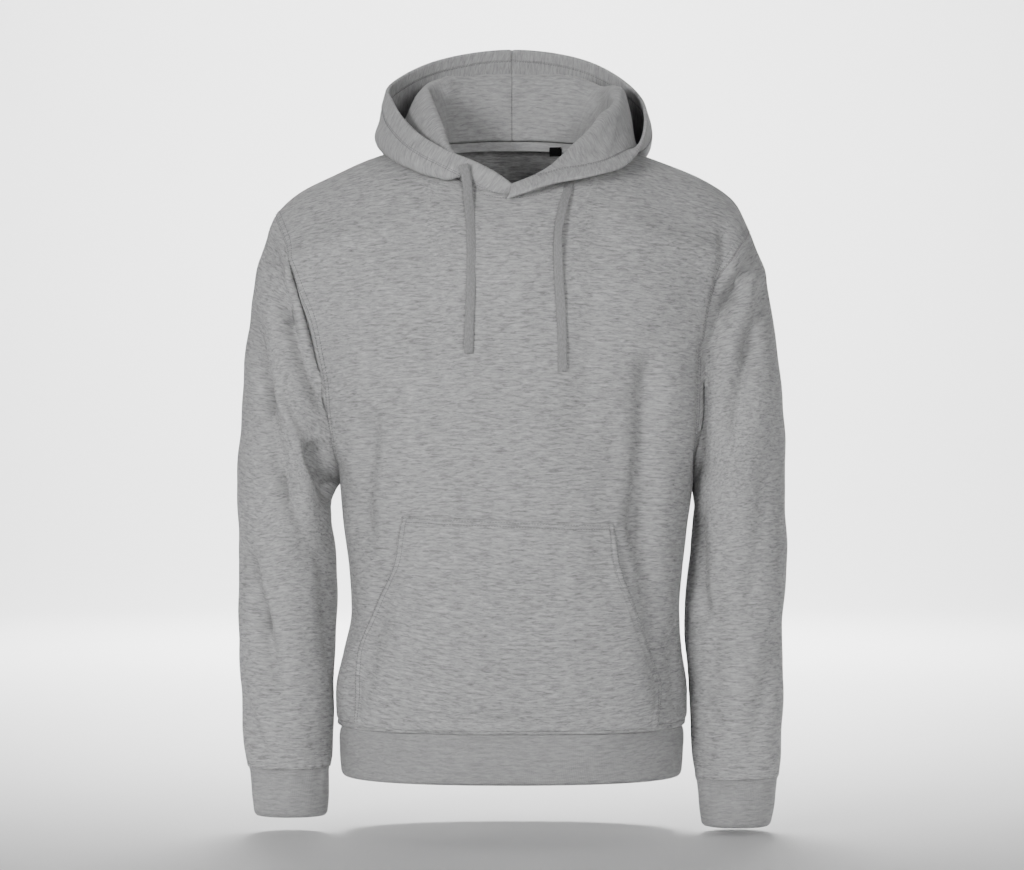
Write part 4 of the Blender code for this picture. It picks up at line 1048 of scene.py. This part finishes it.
class Finish:
    """A material with one shader; every other node comes from add."""

    def __init__(self, name, roughness=0.95, **fixed):
        self.material = bpy.data.materials.new(name)
        self.material.use_nodes = True
        self.nodes = self.material.node_tree.nodes
        self.links = self.material.node_tree.links
        self.shader = self.nodes["Principled BSDF"]
        self.solid = None
        for socket, value in {"Roughness": roughness, "Metallic": 0.0, **fixed}.items():
            self.shader.inputs[socket.replace("_", " ")].default_value = value

    def add(self, kind, settings=None, values=None, output=0):
        """A node of that kind: its settings first, then its sockets' values or links."""
        node = self.nodes.new(kind)
        for key, value in (settings or {}).items():
            setattr(node, key, value)
        for key, value in (values or {}).items():
            if isinstance(value, Socket):
                self.links.new(value.output, node.inputs[key])
            else:
                node.inputs[key].default_value = value
        return Socket(self, node.outputs[output])

    def feed(self, socket, value):
        """Link a value to the shader's socket."""
        self.links.new(value.output, self.shader.inputs[socket])

    def cloth_place(self):
        """Place on the cloth, in metres, from the piece's UV map."""
        return self.add("ShaderNodeUVMap", {"uv_map": "cloth"})

    def noise(self, place, scale, rough=0.6, detail=2.0, shift=(0.0, 0.0, 0.0), distortion=0.0, flat=True):
        """Fractal noise about 0.5, over a place that is scaled and moved first, flat or solid."""
        mapping = {"Vector": place, "Location": shift, "Scale": scale}
        vector = self.add("ShaderNodeMapping", {"vector_type": "POINT"}, mapping)
        values = {"Vector": vector, "Scale": 1.0, "Detail": detail, "Roughness": rough}
        values["Distortion"] = distortion
        return self.add("ShaderNodeTexNoise", {"noise_dimensions": "2D" if flat else "3D"}, values)

    def grain(self, scale, rough=0.6, detail=2.0):
        """Noise through the piece's own space."""
        if self.solid is None:
            self.solid = self.add("ShaderNodeTexCoord", None, None, 3)
        return self.noise(self.solid, scale, rough, detail, flat=False)

    def tint(self, factor, base, dark, light):
        """Base colour between two tones of one colour: dark at a factor of 0 and light at 1."""
        dark, light = (tuple(part * tone for part in base[:3]) + (1.0,) for tone in (dark, light))
        mix = self.add("ShaderNodeMix", {"data_type": "RGBA"}, {0: factor, 6: dark, 7: light}, 2)
        self.feed("Base Color", mix)

    def bump(self, height, strength, distance):
        """Relief of that height, by a Bump node."""
        values = {"Strength": strength, "Distance": distance, "Height": height}
        self.feed("Normal", self.add("ShaderNodeBump", None, values))


# the heather's layers: how much finer along and across the rows, weight and shift
STREAKS = ((1.0, 1.0, 1.2, 0.3), (2.2, 1.7, 0.7, 7.3), (5.5, 2.8, 0.28, 1.9))
WALE = 0.0013
COURSE = 0.0016


def streaks(finish, place, look, upright=False):
    """Tones of mixed yarns along the knit's rows: long faint streaks, short ones and flecks, about 0."""
    total = 0.0
    for finer, closer, weight, shift in STREAKS:
        scale = (finer / look.streak_length, closer / look.streak_height)
        scale = (scale[::-1] if upright else scale) + (1.0,)
        pattern = finish.noise(place, scale, shift=(shift, shift * 0.7, 0.0), distortion=0.5)
        total = (pattern - 0.5) * weight + total
    return total


def heather(name, look, base, contrast, turned=None, rib=0.0, pile=1.0):
    """Mixed grey knit: streaks along its rows, slow patches, and a bump of loops and stray fibres.

    turned names the attribute that says where the knit's rows run the other way.
    """
    finish = Finish(name, look.roughness, Sheen_Weight=look.sheen, Sheen_Roughness=0.5,
                    Specular_IOR_Level=0.25)
    place = finish.cloth_place()
    tone = streaks(finish, place, look)
    if turned:
        mask = finish.add("ShaderNodeAttribute", {"attribute_name": turned}, None, 2)
        tone = tone * (1 - mask) + streaks(finish, place, look, True) * mask
    patch = finish.grain((16.0, 16.0, 26.0), 0.5) - 0.5
    fibre = finish.grain((900.0, 900.0, 900.0)) - 0.5
    shade = tone * contrast + patch * look.patchiness + fibre * 0.10 * pile + 0.5
    finish.tint(shade.math("MINIMUM", 1.0).math("MAXIMUM", 0.0), base, 0.42, 1.58)
    finish.feed("Roughness", look.roughness + fibre * 0.08)
    height = tone * 0.5 + fibre * 0.8 * pile
    if rib:
        across = finish.add("ShaderNodeSeparateXYZ", None, {0: place})
        height = height + (across * (2 * np.pi / rib)).math("SINE") * 0.5
    finish.bump(height, look.relief, 0.0006)
    return finish.material


def thread_finish(name, look):
    """Sewing thread: one tone with a fine twist along it, darker than the cloth; the dark tone is partly the
    thread's own grey and partly painted shade of the grooves the stitches sink into.
    """
    finish = Finish(name, 0.8)
    fibre = finish.grain((1500.0, 1500.0, 1500.0))
    finish.tint(fibre, look.thread, 0.8, 1.2)
    finish.bump(fibre, 0.3, 0.0003)
    return finish.material


def cord_finish(name, look):
    """Knitted cord: columns of small slanted loops along it, two to a wale, over a mixed grey; the loops' tone,
    light at each loop's middle and dark in the gaps between loops, is painted shade of their relief.
    """
    finish = Finish(name, 0.9, Sheen_Weight=look.sheen, Sheen_Roughness=0.5)
    place = finish.cloth_place()
    part = finish.add("ShaderNodeSeparateXYZ", None, {0: place})
    along = Socket(finish, part.output.node.outputs[1])
    wale = (part * (1 / WALE)).math("FRACT")
    slant = (along * (1 / COURSE) + (wale - 0.5).math("ABSOLUTE") * 1.4).math("FRACT")
    loop = (slant * np.pi).math("SINE") * (wale * np.pi).math("SINE")
    mixed = finish.noise(place, (700.0, 260.0, 1.0))
    # loop * 0.35: painted shade of the loops, darker in the gaps between them, over the cord's mixed grey
    finish.tint(loop * 0.35 + (mixed - 0.5) * 0.9 + 0.35, look.cord, 0.62, 1.30)
    finish.bump(loop, 0.55, 0.0005)
    return finish.material


def label_finish(name, look):
    """Woven label: plain black with a fine satin line."""
    finish = Finish(name, 0.8, Specular_IOR_Level=0.08)
    weave = finish.grain((400.0, 400.0, 4000.0), 0.5, 1.0)
    finish.tint(weave, look.label, 0.7, 1.6)
    finish.bump(weave, 0.3, 0.0002)
    return finish.material


# Settings -----------------------------------------------------------------------------------


def size(label, text, default, low, high):
    """A length property in metres."""
    return bpy.props.FloatProperty(name=label, description=text, default=default, min=low, max=high,
                                   subtype="DISTANCE", unit="LENGTH", precision=5)


def share(label, text, default, low, high):
    """A plain number property."""
    return bpy.props.FloatProperty(name=label, description=text, default=default, min=low, max=high,
                                   subtype="FACTOR")


def power(label, text, default):
    """A light's power."""
    return bpy.props.FloatProperty(name=label, description=text, default=default, min=0.0, max=1000.0)


def count(label, text, default, low, high):
    """A whole number property."""
    return bpy.props.IntProperty(name=label, description=text, default=default, min=low, max=high)


def tone(label, text, default):
    """A colour property."""
    return bpy.props.FloatVectorProperty(name=label, description=text, default=default, size=4, min=0.0, max=1.0,
                                         subtype="COLOR")


class HoodieCloth(bpy.types.PropertyGroup):
    """Thicknesses of the cloth and how finely its surfaces are worked out."""

    fleece: size("Fleece", "Thickness of the fleece", 0.0026, 0.001, 0.005)
    rib: size("Rib", "Thickness of the folded hem and cuffs", 0.0036, 0.001, 0.006)
    casing: size("Casing", "Thickness of the folded casing at the hood's rim", 0.0048, 0.002, 0.008)
    tape: size("Tape", "Thickness of the neck tape", 0.0010, 0.0005, 0.003)
    neck_columns: count("Neck columns", "Columns from the middle to the neck's corner", 26, 8, 60)
    shoulder_columns: count("Shoulder columns", "Columns from the neck's corner to the side", 30, 8, 60)
    arm_rows: count("Armhole rows", "Rows down the armhole", 72, 20, 120)
    low_rows: count("Lower rows", "Rows from the underarm to the hem", 76, 20, 120)
    sleeve_rows: count("Sleeve rows", "Rows down a sleeve", 120, 30, 200)
    hood_columns: count("Hood columns", "Columns along a hood half", 132, 40, 200)
    hood_rows: count("Hood rows", "Rows up a hood half", 120, 40, 200)
    pocket_rows: count("Pocket rows", "Rows down the pocket", 56, 10, 120)
    pocket_columns: count("Pocket columns", "Columns across the pocket", 52, 10, 120)


class HoodieLook(bpy.types.PropertyGroup):
    """Colours and the knit's pattern."""

    fleece: tone("Fleece", "Colour of the heather fleece", (0.352, 0.352, 0.354, 1.0))
    rib: tone("Rib", "Colour of the hem and cuffs", (0.318, 0.318, 0.320, 1.0))
    cord: tone("Cord", "Colour of the drawcord", (0.285, 0.285, 0.287, 1.0))
    tape: tone("Tape", "Colour of the neck tape", (0.352, 0.352, 0.354, 1.0))
    label: tone("Label", "Colour of the size label", (0.004, 0.004, 0.004, 1.0))
    # thread: a darker grey than the cloth, partly the thread's own tone and partly painted shade of the stitch
    # grooves
    thread: tone("Thread", "Colour of the sewing thread", (0.21, 0.21, 0.212, 1.0))
    contrast: share("Contrast", "Strength of the heather's streaks", 0.92, 0.0, 4.0)
    patchiness: share("Patches", "Strength of the slow patches", 0.16, 0.0, 1.0)
    relief: share("Relief", "Strength of the knit's relief", 0.22, 0.0, 1.0)
    roughness: share("Roughness", "Roughness of the cloth", 0.95, 0.0, 1.0)
    sheen: share("Sheen", "Soft light that the cloth's fibres catch", 0.12, 0.0, 1.0)
    streak_length: size("Streak length", "Length of a streak along the knit", 0.0150, 0.001, 0.05)
    streak_height: size("Streak height", "Height of a streak", 0.0027, 0.0003, 0.02)


class HoodieSewing(bpy.types.PropertyGroup):
    """Threads and the drawcord."""

    pitch: size("Stitch pitch", "Distance from stitch to stitch", 0.0031, 0.001, 0.01)
    length: size("Stitch length", "Length of thread that shows", 0.0025, 0.0005, 0.01)
    thread: size("Thread", "Thickness of the thread", 0.00075, 0.0002, 0.002)
    cord_width: size("Cord width", "Width of the flat drawcord", 0.0106, 0.004, 0.02)
    cord_thick: size("Cord thickness", "Thickness of the flat drawcord", 0.0020, 0.001, 0.006)


class HoodieStage(bpy.types.PropertyGroup):
    """Camera, floor and light."""

    distance: size("Camera distance", "Distance of the camera from the middle of the garment", 3.6, 1.0, 20.0)
    height: size("Camera height", "Height of the camera", -0.3176, -2.0, 2.0)
    lens: bpy.props.FloatProperty(name="Lens", description="Focal length", default=109.6, min=20.0, max=300.0,
                                  unit="CAMERA")
    floor: tone("Floor", "Colour of the floor and backdrop", (0.90, 0.90, 0.90, 1.0))
    key: power("Key light", "Power of the main softbox in watts", 28.5)
    fill: power("Fill light", "Power of the front softbox in watts", 18.5)
    top: power("Top light", "Power of the softbox over the floor in watts", 130.0)
    near: power("Near light", "Power of the softbox over the near floor in watts", 11.0)
    rear: power("Rear light", "Power of the softbox behind in watts", 240.0)
    ambient: bpy.props.FloatProperty(name="Ambient", description="Strength of the light all round", default=0.06,
                                     min=0.0, max=5.0)


# Operators ----------------------------------------------------------------------------------

SENSOR_WIDTH = 36.0
# the floor: its flat radius, the radius of its curve up, its wall's height and its gap to the part
BOWL_RADIUS = 4.6
BOWL_CURVE = 1.6
BOWL_HEIGHT = 5.0
BOWL_SIDES = 96
FLOOR_GAP = 0.010
GARMENT_MIDDLE = (0.0, 0.0, -0.32)
LAMPS = (
    # name, place, width, setting of its power, point it faces, spread in degrees
    ("key", (-2.3, -3.4, 0.4), 1.0, "key", GARMENT_MIDDLE, 100.0),
    ("front", (1.3, -4.0, 0.1), 1.2, "fill", GARMENT_MIDDLE, 100.0),
    ("rear", (0.0, 2.4, 2.6), 2.6, "rear", (0.0, 6.2, 0.2), 100.0),
    ("low", (0.0, 2.6, 3.4), 2.2, "top", (0.0, 2.7, -0.8), 60.0),
    ("near", (0.0, 1.5, 1.7), 1.4, "near", (0.0, 0.75, -0.8), 40.0),
)
# end of a cloth piece's name for each slot
SUFFIX = {"fleece": "_fleece", "rib": "_rib", "tape": "_knit", "label": "_loop"}
BODY_PANELS = ["front_panel", "back_panel"]
TOP_EDGE, BOTTOM_EDGE, SIDE_EDGES = np.s_[0], np.s_[-1], np.s_[:, [0, -1]]
# distances of the rows of stitches from a piece's edge
SEAM_STITCHES = (0.0020, 0.0080)
NECK_STITCH = 0.0060
CASING_STITCHES = (0.0008, 0.0030)
POCKET_STITCHES = (0.0020, 0.0078)


def garment_panels(cloth):
    """The front's and back's surfaces and normals."""
    return {FRONT: panel(FRONT, "front_panel", cloth), BACK: panel(BACK, "back_panel", cloth)}


def finish_named(name, look):
    """The material of that name, made the first time it is asked for."""
    if name in bpy.data.materials:
        return bpy.data.materials[name]
    knits = {
        "heather_fleece": (look.fleece, look.contrast),
        "heather_hood": (look.fleece, look.contrast * 0.65, "turned"),
        "heather_rib": (look.rib, look.contrast * 0.55, None, 0.0021, 0.6),
        "heather_tape": (look.tape, look.contrast * 0.5, None, 0.0, 0.5),
    }
    if name in knits:
        return heather(name, look, *knits[name])
    others = {"knitted_cord": cord_finish, "grey_thread": thread_finish, "black_label": label_finish}
    return others[name](name, look)


def sewn(grid, thickness, *edges):
    """Thicknesses over a grid, drawn in at the edges that are sewn to another piece."""
    values = np.full(grid.shape[:2], float(thickness))
    for edge in edges:
        values[edge] *= 0.5
    return values


def add_cloth(name, slot, finish, surface, thickness, held, rests_on, closed=False, level=0, plumb=False,
              **edges):
    """The cloth piece for the solid of that name, with places on the cloth worked out from its grid."""
    grid, normal = surface
    whole = wrapped(grid) if closed else grid
    finish = finish_named(finish, bpy.context.scene.hoodie_look)
    uv = cloth_uv(whole, level, plumb)
    piece = wall(name + SUFFIX[slot], grid, normal, thickness, uv, finish, slot, name, closed, **edges)


class HOODIE_OT_stage(bpy.types.Operator):
    """Make the camera, the pale floor and backdrop, and the soft lights"""

    bl_idname = "hoodie.stage"
    bl_label = "Stage"

    def execute(self, context):
        stage = context.scene.hoodie_stage
        scene = context.scene
        camera = bpy.data.objects.new("camera", bpy.data.cameras.new("camera"))
        camera.data.lens = stage.lens
        camera.data.sensor_width = SENSOR_WIDTH
        camera.location = (0.0, -stage.distance, stage.height)
        camera.rotation_euler = (np.pi / 2, 0.0, 0.0)
        scene.collection.objects.link(camera)
        scene.camera = camera
        self.sweep(scene, stage)
        for name, place, width, watts, aim, spread in LAMPS:
            self.softbox(scene, name, place, width, getattr(stage, watts), aim, spread)
        world = bpy.data.worlds.new("studio")
        world.use_nodes = True
        background = world.node_tree.nodes["Background"]
        background.inputs["Color"].default_value = (1.0, 1.0, 1.0, 1.0)
        background.inputs["Strength"].default_value = stage.ambient
        scene.world = world
        return {"FINISHED"}

    def sweep(self, scene, stage):
        """A round floor that curves up into a wall: a profile of radius and height carried round."""
        turn = np.linspace(0.0, np.pi / 2, 17)
        wall_radius = BOWL_RADIUS + BOWL_CURVE
        radius = np.concatenate([[0.02, 1.0, 2.5], BOWL_RADIUS + BOWL_CURVE * np.sin(turn), [wall_radius]])
        height = np.concatenate([[0.0] * 3, BOWL_CURVE - BOWL_CURVE * np.cos(turn), [BOWL_HEIGHT]])
        radius, height = radius[:, None], (height + CAD_BOX[0][2] - FLOOR_GAP)[:, None]
        angle = np.arange(BOWL_SIDES) / BOWL_SIDES * 2 * np.pi
        points = np.broadcast_arrays(radius * np.cos(angle), radius * np.sin(angle), height)
        points = np.stack(points, axis=2).reshape(-1, 3)
        r, c = grid_quads(len(radius), BOWL_SIDES, True)
        quads = (r * BOWL_SIDES + c % BOWL_SIDES).tolist()
        mesh = bpy.data.meshes.new("floor")
        mesh.from_pydata(points.tolist(), [], quads + [list(range(BOWL_SIDES))])
        mesh.shade_smooth()
        floor = bpy.data.objects.new("floor", mesh)
        scene.collection.objects.link(floor)
        finish = Finish("pale_floor", 0.9)
        finish.tint(finish.grain((3.0, 3.0, 3.0), 0.5), stage.floor, 0.985, 1.0)
        mesh.materials.append(finish.material)

    def softbox(self, scene, name, place, width, power, aim, spread):
        """A square area light at a place, facing a point."""
        light = bpy.data.lights.new(name, "AREA")
        light.energy = power
        light.size = width
        light.spread = np.radians(spread)
        lamp = bpy.data.objects.new(name, light)
        lamp.location = place
        away = np.array(place) - aim
        level = np.hypot(away[0], away[1])
        lamp.rotation_euler = (np.arctan2(level, away[2]), 0.0, np.arctan2(away[1], away[0]) + np.pi / 2)
        scene.collection.objects.link(lamp)


class HOODIE_OT_cords(bpy.types.Operator):
    """Make the two free ends of the flat drawcord, which come out from under the hood's casing"""

    bl_idname = "hoodie.cords"
    bl_label = "Drawcords"

    def execute(self, context):
        sewing = context.scene.hoodie_sewing
        finish = finish_named("knitted_cord", context.scene.hoodie_look)
        for hand, which in HAND_NAMES:
            name = "drawcord" + which
            rings, centre, along = cord_surface(hand, sewing.cord_width, sewing.cord_thick)
            rows, columns = rings.shape[:2]
            r, c = grid_quads(rows, columns, True)
            index = np.arange(rows * columns).reshape(rows, columns)
            around = run_lengths(wrapped(rings), 1)
            uv = np.stack([around, np.broadcast_to(along[:, None], around.shape)], axis=2)[r, c]
            k = np.arange(columns // 2 - 1)
            cap = np.stack([k, k + 1, columns - 2 - k, columns - 1 - k], axis=1)
            ends = np.concatenate([index[0][cap], index[-1][cap][:, ::-1]])
            points = rings.reshape(-1, 3)
            quads = np.concatenate([index[r, c % columns], ends])
            uv = np.concatenate([uv, points[ends][..., [0, 2]]])
            if shell_volume(points, quads) < 0:
                quads, uv = quads[:, ::-1], uv[:, ::-1]
            cord = finish_piece(name + "_knit", points, quads, uv, finish, name)
            path = [tuple(point) for point in centre[::4]] + [tuple(centre[-1])]
        return {"FINISHED"}


def shell_volume(points, quads):
    """Volume inside a closed shell, below zero where its faces point inwards."""
    a, b, c, d = (np.asarray(points)[quads[:, i]] for i in range(4))
    halves = np.einsum("ij,ij->i", a, np.cross(b, c)) + np.einsum("ij,ij->i", a, np.cross(c, d))
    return float(halves.sum() / 6)


class HOODIE_OT_body(bpy.types.Operator):
    """Make the front and the back"""

    bl_idname = "hoodie.body"
    bl_label = "Front and back"

    def execute(self, context):
        cloth = context.scene.hoodie_cloth
        panels = garment_panels(cloth)
        for side, name, other in ((FRONT, *BODY_PANELS), (BACK, *BODY_PANELS[::-1])):
            thickness = sewn(panels[side][0], cloth.fleece, TOP_EDGE, BOTTOM_EDGE, SIDE_EDGES)
            add_cloth(name, "fleece", "heather_fleece", panels[side], thickness, "hung", [other],
                      level=cloth.arm_rows, plumb=True)
        return {"FINISHED"}


class HOODIE_OT_sleeves(bpy.types.Operator):
    """Make the two sleeves"""

    bl_idname = "hoodie.sleeves"
    bl_label = "Sleeves"

    def execute(self, context):
        cloth = context.scene.hoodie_cloth
        panels = garment_panels(cloth)
        for hand, which in HAND_NAMES:
            name = "sleeve" + which
            surface = opened(*sleeve(hand, name, panels, cloth), (0.0, 0.0, -0.5))
            thickness = sewn(surface[0], cloth.fleece, TOP_EDGE, BOTTOM_EDGE)
            add_cloth(name, "fleece", "heather_fleece", surface, thickness, "hung", BODY_PANELS,
                      closed=True, level=-1)
        return {"FINISHED"}


class HOODIE_OT_bands(bpy.types.Operator):
    """Make the hem band and the cuffs"""

    bl_idname = "hoodie.bands"
    bl_label = "Hem and cuffs"

    def execute(self, context):
        cloth = context.scene.hoodie_cloth
        panels = garment_panels(cloth)
        bands = [("hem_band", hem_wall(cloth), (-0.2, 0.0, HEM_SEAM_Z), BODY_PANELS)]
        for hand, which in HAND_NAMES:
            ring = sleeve(hand, "sleeve" + which, panels, cloth)[0][-1]
            bands.append(("cuff" + which, cuff_wall(hand, ring, cloth), (0.0, 0.0, -0.7), ["sleeve" + which]))
        for name, surface, start, carriers in bands:
            surface = opened(*surface, start)
            add_cloth(name, "rib", "heather_rib", surface, sewn(surface[0], cloth.rib, TOP_EDGE), "folded",
                      carriers, closed=True, free=("bottom",))
        return {"FINISHED"}


class HOODIE_OT_hood(bpy.types.Operator):
    """Make the hood's two halves with the casing at their rim"""

    bl_idname = "hoodie.hood"
    bl_label = "Hood"

    def execute(self, context):
        cloth = context.scene.hoodie_cloth
        panels = garment_panels(cloth)
        for hand, which in HAND_NAMES:
            grid, normal, thickness, upright, _ = hood_wall(panels, hand, cloth)
            add_cloth("hood" + which, "fleece", "heather_hood", (grid, normal), thickness, "folded",
                      BODY_PANELS, free=("bottom", "start"), masks={"turned": upright})
        return {"FINISHED"}


class HOODIE_OT_pocket(bpy.types.Operator):
    """Make the pocket"""

    bl_idname = "hoodie.pocket"
    bl_label = "Pocket"

    def execute(self, context):
        cloth = context.scene.hoodie_cloth
        surface = pocket_wall(panel(FRONT, "front_panel", cloth)[0], cloth)
        add_cloth("pocket", "fleece", "heather_fleece", surface, cloth.fleece, "hung", ["front_panel"],
                  free=("top", "start", "end"))
        return {"FINISHED"}


class HOODIE_OT_neck_trim(bpy.types.Operator):
    """Make the tape inside the back neck and the bare loop label under it"""

    bl_idname = "hoodie.neck_trim"
    bl_label = "Neck tape and label"

    def execute(self, context):
        cloth = context.scene.hoodie_cloth
        tape = tape_surface(garment_panels(cloth), cloth)
        add_cloth("neck_tape", "tape", "heather_tape", tape, cloth.tape, "stretched", ["back_panel"],
                  free=("top", "bottom"))
        add_cloth("size_label", "label", "black_label", label_surface(*tape), LABEL_THICK, "folded",
                  ["neck_tape"], free=("top", "bottom", "start", "end"))
        return {"FINISHED"}


class HOODIE_OT_stitches(bpy.types.Operator):
    """Sew the visible rows of topstitching"""

    bl_idname = "hoodie.stitches"
    bl_label = "Stitches"

    def execute(self, context):
        cloth, sewing = context.scene.hoodie_cloth, context.scene.hoodie_sewing
        finish = finish_named("grey_thread", context.scene.hoodie_look)
        panels = garment_panels(cloth)
        on_fleece = cloth.fleece / 2 + sewing.thread * 0.05
        on_casing = cloth.fleece * 0.65 + sewing.thread * 0.3
        body, casing, pocket = [], [], []
        for surface in panels.values():
            rows, columns = surface[0].shape[:2]
            down = (cloth.arm_rows + 1) / (rows - 1)
            corner = (cloth.shoulder_columns + 2) / (columns - 1)
            body.append((*surface, "bottom", HEM_STITCH))
            body += [(*surface, edge, inset, 0.0, down)
                     for edge in ("start", "end") for inset in SEAM_STITCHES]
            body.append((*surface, "top", NECK_STITCH, corner, 1 - corner))
        for hand in HANDS:
            grid, normal, _, _, along = hood_wall(panels, hand, cloth)
            casing += [(grid, normal * face, "bottom", casing_width(along) - inset, 0.03, 1.0)
                       for inset in CASING_STITCHES for face in (1, -1)]
        surface = pocket_wall(panels[FRONT][0], cloth)
        pocket += [(*surface, edge, inset, 0.01, 0.99)
                   for edge in ("top", "start", "end") for inset in POCKET_STITCHES]
        for name, lines, lift in (("body", body, on_fleece), ("casing", casing, on_casing),
                                  ("pocket", pocket, on_fleece)):
            rows = [(*inset_line(*line), sewing.pitch, sewing.length, sewing.thread, lift) for line in lines]
            add_stitches(name + "_stitches", rows, finish)
        return {"FINISHED"}


OPERATORS = (
    HOODIE_OT_stage,
    HOODIE_OT_cords,
    HOODIE_OT_body,
    HOODIE_OT_sleeves,
    HOODIE_OT_bands,
    HOODIE_OT_hood,
    HOODIE_OT_pocket,
    HOODIE_OT_neck_trim,
    HOODIE_OT_stitches,
)
SETTINGS = (
    ("hoodie_cloth", HoodieCloth),
    ("hoodie_look", HoodieLook),
    ("hoodie_sewing", HoodieSewing),
    ("hoodie_stage", HoodieStage),
)


class HOODIE_PT_sidebar(bpy.types.Panel):
    """Lists the pieces of the garment and their settings"""

    bl_idname = "HOODIE_PT_sidebar"
    bl_label = "Pullover hoodie"
    bl_space_type = "VIEW_3D"
    bl_region_type = "UI"
    bl_category = "Garment"

    def draw(self, context):
        for operator in OPERATORS:
            self.layout.operator(operator.bl_idname)
        for name, group in SETTINGS:
            box = self.layout.box()
            for prop in group.__annotations__:
                box.prop(getattr(context.scene, name), prop)


def register():
    for name, group in SETTINGS:
        bpy.utils.register_class(group)
        setattr(bpy.types.Scene, name, bpy.props.PointerProperty(type=group))
    for operator in OPERATORS:
        bpy.utils.register_class(operator)
    bpy.utils.register_class(HOODIE_PT_sidebar)


def unregister():
    bpy.utils.unregister_class(HOODIE_PT_sidebar)
    for operator in reversed(OPERATORS):
        bpy.utils.unregister_class(operator)
    for name, group in reversed(SETTINGS):
        delattr(bpy.types.Scene, name)
        bpy.utils.unregister_class(group)


def main():
    register()
    bpy.ops.hoodie.stage()
    bpy.ops.hoodie.cords()
    bpy.ops.hoodie.body()
    bpy.ops.hoodie.sleeves()
    bpy.ops.hoodie.bands()
    bpy.ops.hoodie.hood()
    bpy.ops.hoodie.pocket()
    bpy.ops.hoodie.neck_trim()
    bpy.ops.hoodie.stitches()


if __name__ == "__main__":
    main()
